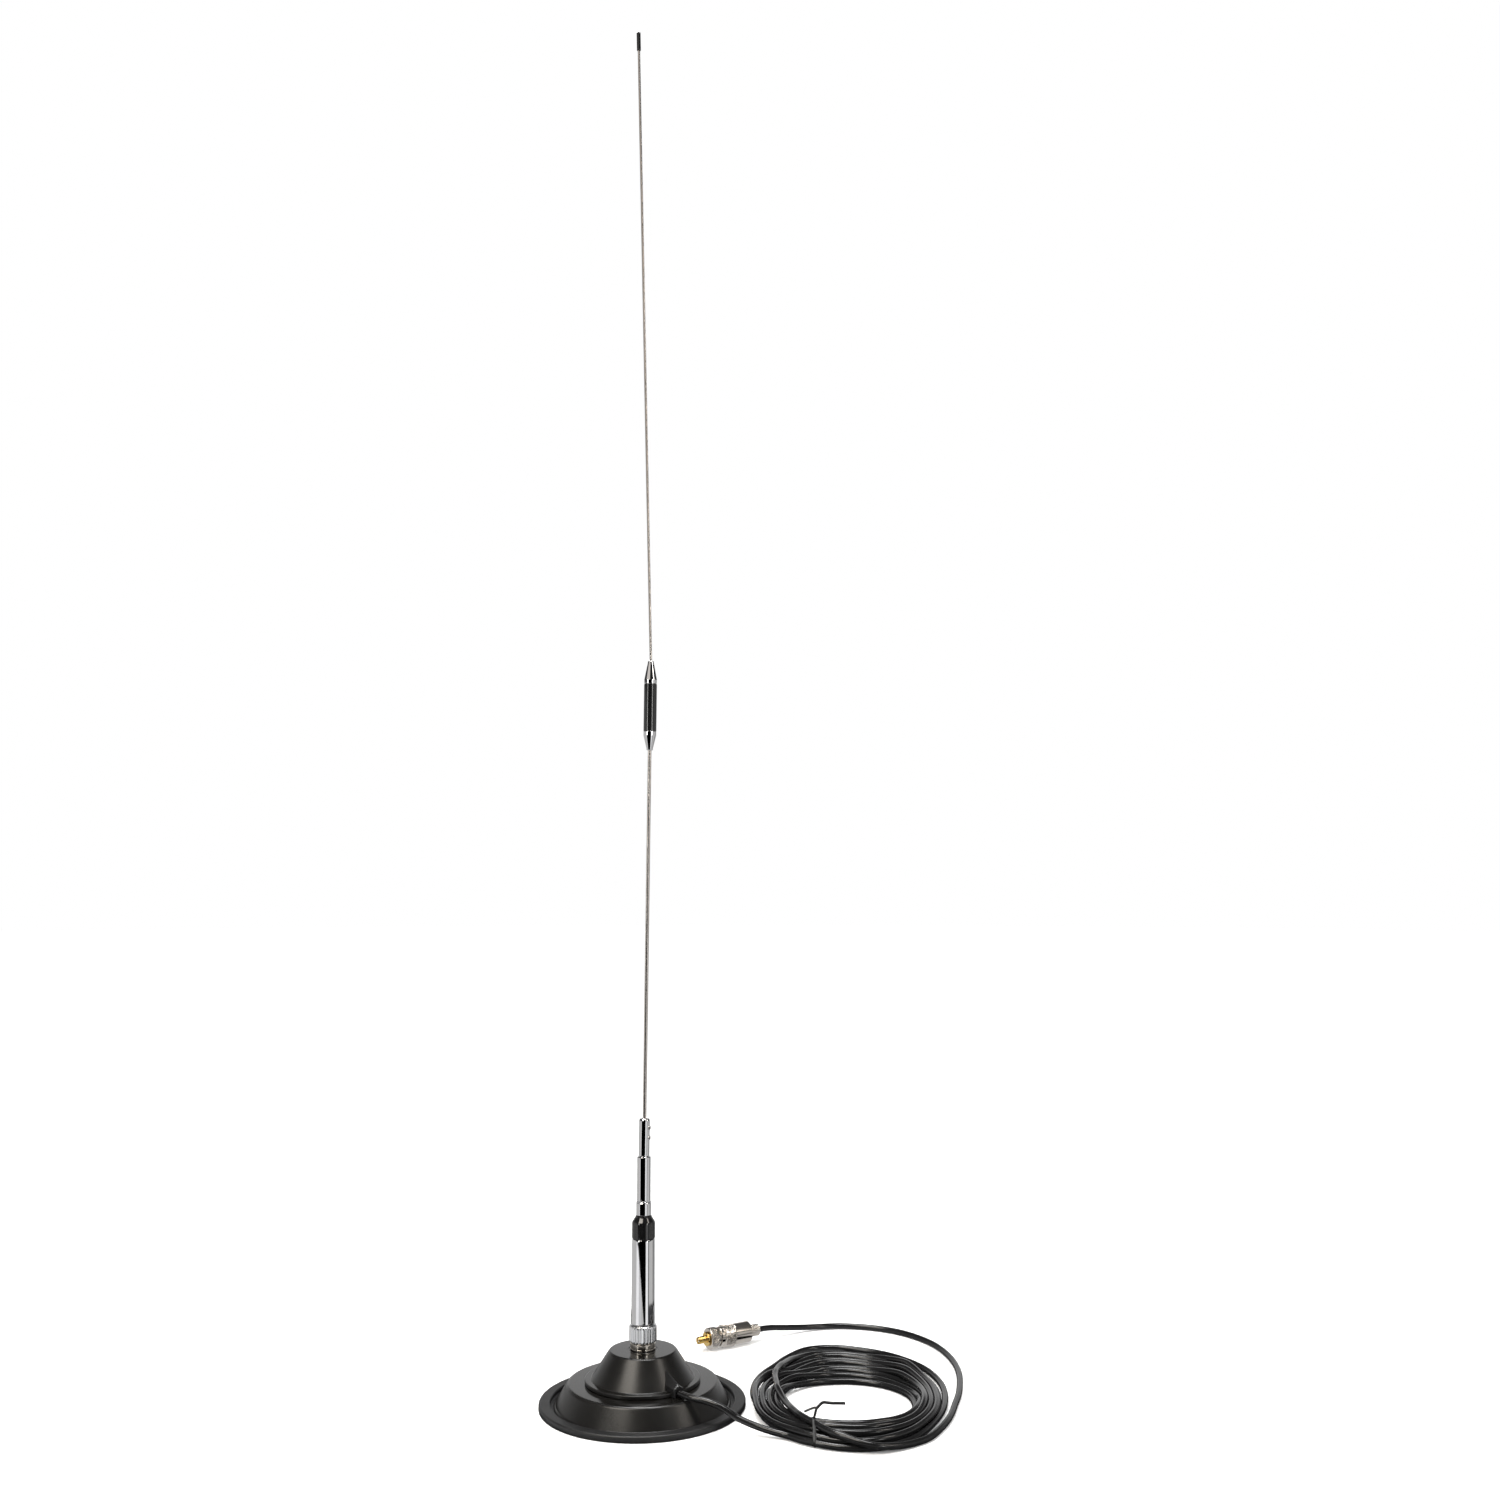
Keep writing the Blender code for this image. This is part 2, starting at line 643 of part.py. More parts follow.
def make_fold_arm(m):
    """The sleeve that folds on the hinge post, with its pin and detent."""
    pivot = anchor("fold_pivot", (0, 0, FOLD_PIVOT * MM))
    foot = FOLD_PIVOT
    bottom = COLLAR_TOP + GAP
    sleeve = turned(
        "fold_sleeve",
        [
            (0, bottom),
            (SLEEVE_RADIUS - 0.3, bottom),
            (SLEEVE_RADIUS, bottom + 0.3),
            (SLEEVE_RADIUS, SLEEVE_TOP - 0.4),
            (SLEEVE_RADIUS - 0.4, SLEEVE_TOP),
            (3.75, SLEEVE_TOP),
            (3.75, 175.6),
            (2.4, 175.6),
            (2.4, 164.5),
            (0, 164.5),
        ],
        m["chrome"],
        pivot,
        steps=32,
        foot=foot,
    )
    slot = [(-3.4, -12), (9, -12), (9, 3.4), *arc((0, 0), 3.4, 90, 180, 8)]
    combine(sleeve, extruded(slot, -2.3, 2.3), "DIFFERENCE")
    heel = [(0, -14), (14, -14), (14, 0), *arc((0, 0), 7.5, 0, -90, 8)]
    combine(sleeve, extruded(heel, -8, 8), "DIFFERENCE")
    combine(sleeve, bar(1.5, 14, sides=16), "DIFFERENCE", ALONG_X)
    bm = bar(1.2, 9.8, sides=16)
    bmesh.ops.transform(bm, matrix=ALONG_X, verts=bm.verts)
    put("hinge_pin", bm, m["steel"], pivot)
    turned(
        "detent_plunger",
        [(0, 165.7), (1.1, 165.8), (2.0, 166.6), (2.0, 168.5), (0, 168.5)],
        m["steel"],
        pivot,
        steps=16,
        foot=foot,
    )
    tube("detent_spring", helix(1.6, 169.2, 174.9, 5, foot=foot), 0.3, m["steel"], pivot, resolution=0)


def make_holder(m, axis):
    """The whip holder on the leaning axis and its two set screws."""
    foot = SLEEVE_TOP
    holder = turned(
        "whip_holder",
        [
            (1.85, 177.8),
            (2.0, 176.4),
            (3.4, 176.4),
            (3.4, SLEEVE_TOP + GAP),
            (HOLDER_RADIUS, SLEEVE_TOP + GAP),
            (HOLDER_RADIUS, HOLDER_TOP - 1.2),
            (HOLDER_RADIUS - 1.2, HOLDER_TOP),
            (1.85, HOLDER_TOP),
        ],
        m["chrome"],
        axis,
        steps=32,
        foot=foot,
    )
    towards = radians(SCREW_AZIMUTH)
    side = Matrix.Rotation(towards, 4, "Z") @ ALONG_X
    for name, height in SCREW_HEIGHTS.items():
        cut = put("whip_holder_" + name, bar(1.9, 6.0, sides=16), m["chrome"], axis)
        screw = put(name, bar(1.6, 2.95, sides=16), m["steel"], axis)
        for piece, reach in ((cut, 4.6), (screw, 3.475)):
            turn = Matrix.Translation(
                Vector((reach * cos(towards), reach * sin(towards), height - foot)) * MM
            )
            piece.data.transform(turn @ side)
        cut.hide_render = True
        cut.display_type = "WIRE"
        modifier = holder.modifiers.new(name, "BOOLEAN")
        modifier.operation = "DIFFERENCE"
        modifier.object = cut


def make_whip(m, axis):
    """The lower whip, the phasing coil, the upper whip and its cap, which slide in the holder together."""
    foot = SLEEVE_TOP
    bottom, tube_bottom, tube_top, top = FERRULE_BOTTOM, COIL_TUBE_BOTTOM, COIL_TUBE_TOP, FERRULE_TOP
    turned(
        "lower_whip",
        [(0, 189.0), (WHIP_RADIUS, 189.0), (WHIP_RADIUS, 524), (0, 524)],
        m["steel"],
        axis,
        steps=20,
        foot=foot,
    )
    turned(
        "phasing_lower_ferrule",
        [
            (1.8, bottom),
            (2.5, bottom),
            (2.75, bottom + 0.5),
            (5.0, 517.4),
            (5.2, 518.2),
            (5.2, tube_bottom - GAP),
            (4.1, tube_bottom - GAP),
            (4.1, 527),
            (1.8, 527),
        ],
        m["chrome"],
        axis,
        steps=28,
        foot=foot,
    )
    turned(
        "phasing_tube",
        [(4.4, tube_bottom), (5.2, tube_bottom), (5.2, tube_top), (4.4, tube_top)],
        m["plastic"],
        axis,
        28,
        foot,
    )
    turned("phasing_former", [(0, 527.3), (2.4, 527.3), (2.4, 553.7), (0, 553.7)], m["white"], axis, 16, foot)
    tube("phasing_coil", helix(3.15, 529.5, 551.5, 7, foot=foot), 0.4, m["copper"], axis, resolution=0)
    turned(
        "phasing_upper_ferrule",
        [
            (1.3, 554),
            (4.1, 554),
            (4.1, tube_top + GAP),
            (5.2, tube_top + GAP),
            (5.2, tube_top + 3.4),
            (5.0, tube_top + 4.2),
            (2.5, top - 0.5),
            (2.2, top),
            (1.3, top),
        ],
        m["chrome"],
        axis,
        steps=28,
        foot=foot,
    )
    bend = top + 1.0 - foot
    lean = radians(UPPER_LEAN - LOWER_LEAN)
    upward = Vector((sin(lean), 0, cos(lean)))
    start = Vector((0, 0, bend)) * MM
    whip_end = start + upward * (TIP_BOTTOM + 8 - top) * MM
    line = [Vector((0, 0, (556 - foot) * MM)), start, start + upward * 0.2, whip_end]
    tube("upper_whip", line, UPPER_WHIP_RADIUS, m["steel"], axis, resolution=3)
    upper_axis = anchor("upper_whip_axis", start)
    upper_axis.rotation_euler = (0, lean, 0)
    upper_axis.parent = axis
    turned(
        "tip_cap",
        [
            (1.3, TIP_BOTTOM),
            (1.6, TIP_BOTTOM),
            (1.65, TIP_BOTTOM + 0.4),
            (1.65, TIP_TOP - 1.3),
            (0.9, TIP_TOP - 0.2),
            (0, TIP_TOP),
            (0, TIP_BOTTOM + 9.5),
            (1.3, TIP_BOTTOM + 9.5),
        ],
        m["plastic"],
        upper_axis,
        steps=16,
        foot=top + 1.0,
    )


def make_lead(m):
    """The free cable, plain here, with its twist tie."""
    tube("cable_lead", smooth_line(LEAD_ROUTE, 0.008), CABLE_RADIUS, m["cable"])
    coil_ring("cable_coil", m["cable"])
    tube("cable_tail", smooth_line(TAIL_ROUTE, 0.0115), CABLE_RADIUS, m["cable"])
    inside, outside, top, thick = -43.9, -90.6, 15.5, 0.6
    outline = [
        (outside - thick, 1.6),
        (outside - thick, top - 1.3),
        (outside + 1.1, top + thick),
        (inside - 1.1, top + thick),
        (inside + thick, top - 1.3),
        (inside + thick, 1.6),
        (inside - 1.1, 0.2),
        (outside + 1.1, 0.2),
        (outside - thick, 1.6),
    ]
    hole = [
        (outside, 1.9),
        (outside, top - 1.5),
        (outside + 1.3, top),
        (inside - 1.3, top),
        (inside, top - 1.5),
        (inside, 1.9),
        (inside - 1.3, 0.7),
        (outside + 1.3, 0.7),
    ]
    tie = put("twist_tie", extruded(outline[:-1], TIE_X - 1.1, TIE_X + 1.1), m["tie"])
    combine(tie, extruded(hole, TIE_X - 5, TIE_X + 5), "DIFFERENCE")


def make_plug(m):
    """The lead's plug and the adapter screwed into it, on one axis that starts at the cable's end."""
    end, before = Vector(TAIL_ROUTE[-1]), Vector(TAIL_ROUTE[-2])
    direction = Vector(((end - before).x, (end - before).y, 0)).normalized()
    place = Vector((end.x, end.y, PLUG_HEIGHT * MM)) + direction * GAP * MM
    axis = anchor("plug_axis", place, direction)
    turned(
        "plug_reducer",
        [(0, 0), (4.5, 0), (5.0, 0.5), (5.0, 9.6), (4.6, 10.0), (3.9, 10.0), (3.9, 19), (0, 19)],
        m["nickel"],
        axis,
        steps=32,
    )
    turned(
        "plug_body",
        [(4.2, 10.6), (6.6, 10.6), (6.6, 23.8), (7.2, 23.8), (7.2, 26.2), (5.6, 26.2), (5.6, 33), (4.2, 33)],
        m["nickel"],
        axis,
        steps=32,
    )
    turned("plug_insulator", [(1.95, 27), (3.9, 27), (3.9, 31.5), (1.95, 31.5)], m["white"], axis, 20)
    turned("plug_pin", [(0, 19.5), (1.55, 19.5), (1.55, 44), (0.9, 45), (0, 45)], m["gold"], axis, 16)
    turned(
        "plug_sleeve",
        [
            (6.95, 10.3),
            (8.2, 10.3),
            (8.75, 10.9),
            (8.75, 26.0),
            (8.55, 26.5),
            (9.0, 26.9),
            (9.4, 27.4),
            (9.4, 36.8),
            (9.0, 37.2),
            (8.3, 37.5),
            (8.15, 37.9),
            (8.15, 40.2),
            (7.9, 40.6),
            (7.55, 40.6),
            (7.55, 23.5),
            (6.95, 23.5),
        ],
        m["nickel"],
        axis,
        steps=36,
    )
    turned(
        "adapter_body",
        [
            (5.95, 26.6),
            (7.2, 26.6),
            (7.2, 39.4),
            (6.85, 39.8),
            (6.85, 43.2),
            (8.4, 43.2),
            (8.85, 43.7),
            (8.85, 50.4),
            (8.2, 51.1),
            (4.0, 51.1),
            (4.0, 41.0),
            (5.95, 41.0),
        ],
        m["nickel"],
        axis,
        steps=36,
    )
    turned("adapter_insulator", [(2.7, 34.5), (5.65, 34.5), (5.65, 40.7), (2.7, 40.7)], m["white"], axis, 20)
    turned(
        "adapter_contact",
        [(1.9, 33.5), (2.4, 33.5), (2.4, 49), (0, 49), (0, 46), (1.9, 46)],
        m["gold"],
        axis,
        steps=16,
    )
    turned(
        "adapter_sma",
        [
            (2.35, 49.4),
            (3.7, 49.4),
            (3.7, 51.4),
            (5.5, 51.4),
            (5.8, 51.7),
            (5.8, 53.0),
            (5.4, 53.4),
            (3.15, 53.4),
            (3.15, 60.6),
            (2.75, 61.0),
            (2.35, 61.0),
        ],
        m["gold"],
        axis,
        steps=32,
    )
    turned("adapter_sma_insulator", [(0.85, 49.7), (2.0, 49.7), (2.0, 59.5), (0.85, 59.5)], m["white"], axis, 16)
    turned("adapter_sma_contact", [(0, 49.4), (0.5, 49.4), (0.5, 60.4), (0, 60.4)], m["gold"], axis, 12)


def main():
    remove_old_objects()
    m = make_materials()
    exit_axes = anchor("exit_axes", (0, 0, 0))
    exit_axes.rotation_euler = (0, 0, radians(LEAD_AZIMUTH - 90))
    make_base(m, exit_axes)
    make_socket(m)
    make_cable_exit(m, exit_axes)
    make_mast(m)
    make_coupling_nut(m)
    make_fold_arm(m)
    whip_axis = anchor("whip_axis", (0, 0, SLEEVE_TOP * MM))
    whip_axis.rotation_euler = (0, radians(LOWER_LEAN), 0)
    make_holder(m, whip_axis)
    make_whip(m, whip_axis)
    make_lead(m)
    make_plug(m)


main()
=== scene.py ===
"""Looks of the magnetic-mount whip antenna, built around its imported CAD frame.

Metres, +Z up. Outlines of turned pieces are in millimetres: (radius, height) or (radius, height, fillet).
"""

from math import cos, degrees, pi, radians, sin

import bmesh
import bpy
import numpy as np
from mathutils import Matrix, Vector


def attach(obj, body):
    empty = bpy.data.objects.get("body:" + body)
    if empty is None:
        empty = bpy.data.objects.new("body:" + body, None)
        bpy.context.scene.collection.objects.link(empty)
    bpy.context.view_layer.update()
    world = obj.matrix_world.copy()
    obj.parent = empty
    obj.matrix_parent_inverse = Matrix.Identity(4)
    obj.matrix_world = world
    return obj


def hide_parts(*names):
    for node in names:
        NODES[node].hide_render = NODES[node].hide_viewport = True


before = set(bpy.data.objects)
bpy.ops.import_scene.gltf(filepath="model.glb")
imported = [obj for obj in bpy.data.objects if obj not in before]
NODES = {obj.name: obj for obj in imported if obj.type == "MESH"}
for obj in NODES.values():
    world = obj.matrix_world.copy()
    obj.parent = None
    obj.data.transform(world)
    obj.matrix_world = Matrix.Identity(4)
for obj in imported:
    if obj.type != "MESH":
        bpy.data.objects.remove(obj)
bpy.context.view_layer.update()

MM = 0.001

# The camera, at the photograph's viewing angle.
CAMERA_PLACE = (0.0828, -1.18, 0.403)
CAMERA_PITCH = 95.0
CAMERA_LENS = 35.5

# The lead's cable and the routes that it lies along.
CABLE = 0.005
CABLE_RADIUS = CABLE / 2
FLOOR_GAP = 0.00005
LEAD_ROUTE = [
    (0.0300, -0.0384, 0.0215), (0.0355, -0.0440, 0.0213), (0.0420, -0.0475, 0.0208),
    (0.0490, -0.0503, 0.0202), (0.0560, -0.0530, 0.0190), (0.0630, -0.0553, 0.0166),
    (0.0700, -0.0577, 0.0130), (0.0770, -0.0600, 0.0090), (0.0840, -0.0622, 0.0056),
    (0.0905, -0.0643, 0.0038),
]
CROSSING_ROUTE = [
    (0.1128, -0.0350, 0.0125), (0.1161, -0.0452, 0.0125), (0.1195, -0.0543, 0.0125),
    (0.1264, -0.0674, 0.0125), (0.1345, -0.0785, 0.0122), (0.1420, -0.0855, 0.0110),
    (0.1502, -0.0905, 0.0095), (0.1570, -0.0940, 0.0083), (0.1639, -0.0964, 0.0073),
    (0.1709, -0.0972, 0.0062), (0.1781, -0.0957, 0.0049), (0.1856, -0.0925, 0.0036),
    (0.1930, -0.0887, 0.0028),
]
TAIL_ROUTE = [
    (0.2006, -0.0838, 0.0026), (0.2121, -0.0736, 0.0026), (0.2226, -0.0557, 0.0026),
    (0.2325, -0.0324, 0.0026), (0.2408, -0.0030, 0.0026), (0.2462, 0.0180, 0.0026),
    (0.2502, 0.0410, 0.0026), (0.2530, 0.0650, 0.0026), (0.2530, 0.0910, 0.0026),
    (0.2495, 0.1160, 0.0026), (0.2425, 0.1390, 0.0026), (0.2310, 0.1590, 0.0026),
    (0.2165, 0.1750, 0.0026), (0.1990, 0.1860, 0.0026), (0.1810, 0.1920, 0.0026),
    (0.1630, 0.1940, 0.0026), (0.1455, 0.1908, 0.0030), (0.1300, 0.1845, 0.0042),
    (0.1130, 0.1743, 0.0070), (0.1000, 0.1662, 0.0092), (0.0900, 0.1600, 0.0097),
]

# The coil: its centre, the Y that its front lies beyond, the radii of its innermost and outermost turns, in
# millimetres, from +X towards +Y, and each turn's lane between them, from 0 outside to 1 inside.
COIL_CENTRE = (0.1595, -0.0070)
COIL_FRONT = -0.03
COIL_INNER = (52, 52.5, 53, 53.5, 54, 53.5, 53.5, 53, 52, 49.5, 49.5, 51)
COIL_OUTER = (
    70.5, 80.5, 96, 115.5, 132, 138.5, 111, 96, 84,
    76, 77, 80.5, 82.5, 86.5, 87.5, 80.5, 71.5, 67.5,
)
LANES_LEFT = (0, 0.15, 0.25, 0.375, 0.5, 0.625, 0.75, 0.875, 1)
LANES_RIGHT = (0, 0.36, 0.23, 0.50, 0.43, 0.68, 0.64, 0.86, 1)
LANES_FRONT = (0, 0.16, 0.22, 0.42, 0.44, 0.70, 0.72, 0.95, 1)
LANES_BACK = (0, 0.20, 0.262, 0.394, 0.456, 0.63, 0.69, 0.84, 1)

# The order in which the lanes are wound, how many of the turns lie in the lower layer, the direction in which
# the coil starts, how far its last turn goes, and the rise to the upper layer and to the crossing strand.
TURN_ORDER = (0, 2, 4, 6, 8, 7, 5, 3, 1)
LOWER_TURNS = 5
COIL_START = 222
LAST_TURN = 320
LAYER_RISE = 0.0044
END_RISE = 0.0052
END_LANE = 0.95

# In degrees: where in a turn the cable starts to change lane, to climb to the upper layer, to climb over it
# at the end and to come in to its last lane, each with how far it goes on for.
LANE_CHANGE, LAYER_CLIMB, END_CLIMB, END_CHANGE = (230, 110), (200, 60), (190, 60), (LAST_TURN - 80, 80)

# In degrees: the middle of the coil's back, right and front, how far to each side and how far they fade.
BACK_SIDE, RIGHT_SIDE, FRONT_SIDE = (95, 20, 45), (35, 20, 45), (268, 20, 40)

# The twist tie goes round the coil's front here, right of the lead. The cable lies this much higher over it,
# along this length.
TIE_X = 0.129
LEAD_RIGHT = 0.1
TIE_LIFT = 0.0006
TIE_REACH = 0.006

# How the cable settles: the spacing of its points, the lengths held still at the gland and at the plug, the
# least length between two points that can touch, the distance that they keep, how near they are looked for
# and how many rounds a search lasts. Then each round's sinking, pull back to the route and push apart, and
# its smoothing, before and in the calm rounds at the end.
SPACING = 0.003
HELD_START, HELD_END = 0.055, 0.07
LENGTH_APART = 0.014
KEPT_APART = CABLE * 1.02
NEARBY = CABLE + 0.004
SEARCH_LASTS = 12
SINK, PULL, PUSH = 0.00006, 0.12, 0.3
SMOOTHING, CALM_SMOOTHING = 0.5, 0.25


# ------------------------------ materials


def feed(tree, socket, value):
    """Links a node's output to a socket, or sets the socket's value."""
    if isinstance(value, bpy.types.NodeSocket):
        tree.links.new(value, socket)
    else:
        socket.default_value = value


def node(tree, kind, **inputs):
    made = tree.nodes.new(kind)
    for key, value in inputs.items():
        feed(tree, made.inputs[key.replace("_", " ")], value)
    return made


def maths(tree, operation, *values):
    made = tree.nodes.new("ShaderNodeMath")
    made.operation = operation
    for socket, value in zip(made.inputs, values):
        feed(tree, socket, value)
    return made.outputs[0]


def plain(name, colour, roughness, metallic=0.0, **more):
    """A Principled material with its constant values on the shader's own sockets."""
    made = bpy.data.materials.new(name)
    made.use_nodes = True
    shader = made.node_tree.nodes["Principled BSDF"]
    shader.inputs["Base Color"].default_value = (*colour, 1.0)
    shader.inputs["Roughness"].default_value = roughness
    shader.inputs["Metallic"].default_value = metallic
    for key, value in more.items():
        shader.inputs[key.replace("_", " ")].default_value = value
    return made


def place_of(tree, stretch):
    """Object coordinates, stretched: the pieces sit at the origin, so these are metres in the frame."""
    coordinates = node(tree, "ShaderNodeTexCoord").outputs["Object"]
    return node(tree, "ShaderNodeMapping", Vector=coordinates, Scale=stretch).outputs["Vector"]


def noise(tree, place, scale, detail, rough):
    made = node(tree, "ShaderNodeTexNoise", Vector=place, Scale=scale, Detail=detail, Roughness=rough)
    return made.outputs["Fac"]


def ranged(tree, value, low, high, start=0.3, end=0.7):
    """A value between start and end turned into one between low and high."""
    ends = {"From_Min": start, "From_Max": end, "To_Min": low, "To_Max": high}
    return node(tree, "ShaderNodeMapRange", Value=value, **ends).outputs["Result"]


def two_tone(tree, value, dark, light):
    ramp = node(tree, "ShaderNodeValToRGB", Fac=value)
    for element, position, colour in zip(ramp.color_ramp.elements, (0.3, 0.7), (dark, light)):
        element.position = position
        element.color = (*colour, 1.0)
    return ramp.outputs["Color"]


def worn(name, dark, light, rough, bump, stretch=(1, 1, 1), grain=900.0, patches=60.0, metallic=0.0, **more):
    """A finish with fine grain, slow patches of colour and a roughness that wanders between two values."""
    made = plain(name, light, rough[0], metallic, **more)
    tree = made.node_tree
    shader = tree.nodes["Principled BSDF"]
    place = place_of(tree, stretch)
    slow = noise(tree, place, patches, 4.0, 0.55)
    fine = noise(tree, place, grain, 2.0, 0.6)
    tree.links.new(two_tone(tree, slow, dark, light), shader.inputs["Base Color"])
    blended = maths(tree, "MULTIPLY_ADD", fine, 0.4, maths(tree, "MULTIPLY", slow, 0.6))
    tree.links.new(ranged(tree, blended, *rough), shader.inputs["Roughness"])
    if bump:
        relief = node(tree, "ShaderNodeBump", Height=fine, Strength=bump[0], Distance=bump[1])
        tree.links.new(relief.outputs["Normal"], shader.inputs["Normal"])
    return made


def polished_flats(made):
    """Makes the level faces of a piece glossier than its sides."""
    tree = made.node_tree
    shader = tree.nodes["Principled BSDF"]
    rough = shader.inputs["Roughness"].links[0].from_socket
    geometry = node(tree, "ShaderNodeNewGeometry")
    upright = node(tree, "ShaderNodeSeparateXYZ", Vector=geometry.outputs["Normal"])
    level = ranged(tree, upright.outputs["Z"], 1.0, 0.55, 0.93, 0.99)
    tree.links.new(maths(tree, "MULTIPLY", rough, level), shader.inputs["Roughness"])


# Each finish's name, and its darker and lighter colour.
COLOURS = {
    "rubber": ("black_rubber", (0.0065, 0.0067, 0.007), (0.0115, 0.0115, 0.012)),
    "housing": ("satin_black_housing", (0.0045, 0.0042, 0.0038), (0.0072, 0.0067, 0.006)),
    "gland": ("gland_rubber", (0.007, 0.007, 0.0073), (0.011, 0.011, 0.0113)),
    "cable": ("cable_jacket", (0.0055, 0.0055, 0.0057), (0.0085, 0.0085, 0.0087)),
    "plastic": ("black_plastic", (0.004, 0.004, 0.0042), (0.0065, 0.0065, 0.0067)),
    "chrome": ("chrome", (0.8, 0.8, 0.81), (0.87, 0.87, 0.88)),
    "brushed_chrome": ("brushed_chrome", (0.76, 0.77, 0.785), (0.88, 0.885, 0.895)),
    "nickel": ("nickel", (0.66, 0.61, 0.545), (0.78, 0.735, 0.67)),
    "gold": ("gold_plate", (0.78, 0.52, 0.16), (0.9, 0.66, 0.27)),
    "whip": ("whip_steel", (0.62, 0.575, 0.535), (0.76, 0.71, 0.665)),
    "steel": ("steel", (0.5, 0.49, 0.48), (0.64, 0.63, 0.62)),
    "magnet": ("ferrite", (0.035, 0.034, 0.033), (0.06, 0.058, 0.056)),
    "copper": ("copper_wire", (0.55, 0.22, 0.09), (0.7, 0.33, 0.15)),
    "white": ("white_insulator", (0.7, 0.69, 0.66), (0.8, 0.79, 0.77)),
    "tie": ("twist_tie", (0.004, 0.004, 0.004), (0.008, 0.008, 0.008)),
}
# Its range of roughness, its bump's strength and distance, and the scale of its grain.
SURFACES = {
    "rubber": ((0.38, 0.52), (0.35, 0.00012), 2600.0),
    "housing": ((0.25, 0.34), (0.1, 0.00004), 3200.0),
    "gland": ((0.24, 0.36), (0.2, 0.00006), 2800.0),
    "cable": ((0.13, 0.21), (0.06, 0.00002), 1500.0),
    "plastic": ((0.07, 0.12), (0.02, 0.00002), 1800.0),
    "chrome": ((0.035, 0.075), (0.015, 0.00001), 700.0),
    "brushed_chrome": ((0.2, 0.29), (0.05, 0.00002), 1600.0),
    "nickel": ((0.15, 0.25), (0.05, 0.00002), 1500.0),
    "gold": ((0.08, 0.18), (0.03, 0.00001), 1500.0),
    "whip": ((0.22, 0.3), (0.08, 0.00001), 2500.0),
    "steel": ((0.14, 0.26), (0.08, 0.00002), 1600.0),
    "magnet": ((0.6, 0.8), (0.5, 0.0002), 1400.0),
    "copper": ((0.16, 0.3), (0.03, 0.00001), 900.0),
    "white": ((0.38, 0.5), (0.08, 0.00003), 1800.0),
    "tie": ((0.38, 0.5), (0.15, 0.00004), 2500.0),
}
# The scale of its patches of colour, where it isn't the usual one.
PATCHES = {"housing": 35.0, "cable": 45.0, "whip": 220.0}
METALS = ("chrome", "brushed_chrome", "nickel", "gold", "whip", "steel", "copper")


def make_finishes():
    made = {}
    for key, looks in COLOURS.items():
        rough, bump, grain = SURFACES[key]
        more = {"Specular_IOR_Level": 0.8} if key == "plastic" else {}
        stretch = (1, 1, 0.04) if key == "whip" else (1, 1, 1)
        patches = PATCHES.get(key, 60.0)
        made[key] = worn(*looks, rough, bump, stretch, grain, patches, float(key in METALS), **more)
    polished_flats(made["housing"])
    return made


FINISHES = make_finishes()


# ------------------------------ shapes


def add_object(name, data):
    made = bpy.data.objects.new(name, data)
    bpy.context.scene.collection.objects.link(made)
    return made


def add_mesh(name, bm, sharp=38.0):
    bmesh.ops.recalc_face_normals(bm, faces=bm.faces)
    mesh = bpy.data.meshes.new(name)
    bm.to_mesh(mesh)
    bm.free()
    mesh.shade_smooth()
    mesh.set_sharp_from_angle(angle=radians(sharp))
    return add_object(name, mesh)


def rounded(outline, fillet=0.25, closed=True, steps=4):
    """An outline with each of its corners turned into a small arc."""
    points = [Vector(p[:2]) for p in outline]
    sizes = [p[2] if len(p) > 2 else fillet for p in outline]
    count = len(points)
    made = []
    for i, (point, size) in enumerate(zip(points, sizes)):
        on_axis = point.x < 1e-6
        if not closed and i in (0, count - 1) or on_axis or size == 0:
            made.append(tuple(point))
            continue
        before, after = points[i - 1] - point, points[(i + 1) % count] - point
        angle = before.angle(after)
        if angle > radians(176):
            made.append(tuple(point))
            continue
        reach = min(size * abs(cos(angle / 2) / sin(angle / 2)), 0.45 * before.length, 0.45 * after.length)
        start, end = point + before.normalized() * reach, point + after.normalized() * reach
        for k in range(steps + 1):
            t = k / steps
            made.append(tuple(start * (1 - t) ** 2 + point * 2 * t * (1 - t) + end * t**2))
    return made


def turned(name, outline, steps=96, fillet=0.2, foot=0.0, shape=None):
    """A piece turned about Z. shape(radius, height, angle) may move a point's radius, all in millimetres."""
    closed = outline[0][0] > 0 or outline[-1][0] > 0
    points = rounded(outline, fillet, closed)
    bm = bmesh.new()
    rings = []
    for radius, height in points:
        if radius < 1e-6:
            rings.append([bm.verts.new((0, 0, (height - foot) * MM))] * steps)
            continue
        ring = []
        for k in range(steps):
            angle = 2 * pi * k / steps
            r = shape(radius, height, angle) if shape else radius
            ring.append(bm.verts.new((r * MM * cos(angle), r * MM * sin(angle), (height - foot) * MM)))
        rings.append(ring)
    pairs = list(zip(rings, rings[1:]))
    if closed:
        pairs.append((rings[-1], rings[0]))
    for low, high in pairs:
        for k in range(steps):
            corners = [low[k], low[(k + 1) % steps], high[(k + 1) % steps], high[k]]
            unique = list(dict.fromkeys(corners))
            if len(unique) > 2:
                bm.faces.new(unique)
    return add_mesh(name, bm)


def skin(bm, rings, closed):
    """Faces between rings of vertices, and at the two ends unless the rings close."""
    pairs = list(zip(rings, rings[1:]))
    if closed:
        pairs.append((rings[-1], rings[0]))
    for low, high in pairs:
        for k in range(len(low)):
            n = (k + 1) % len(low)
            bm.faces.new((low[k], low[n], high[n], high[k]))
    if not closed:
        bm.faces.new(rings[0])
        bm.faces.new(rings[-1])


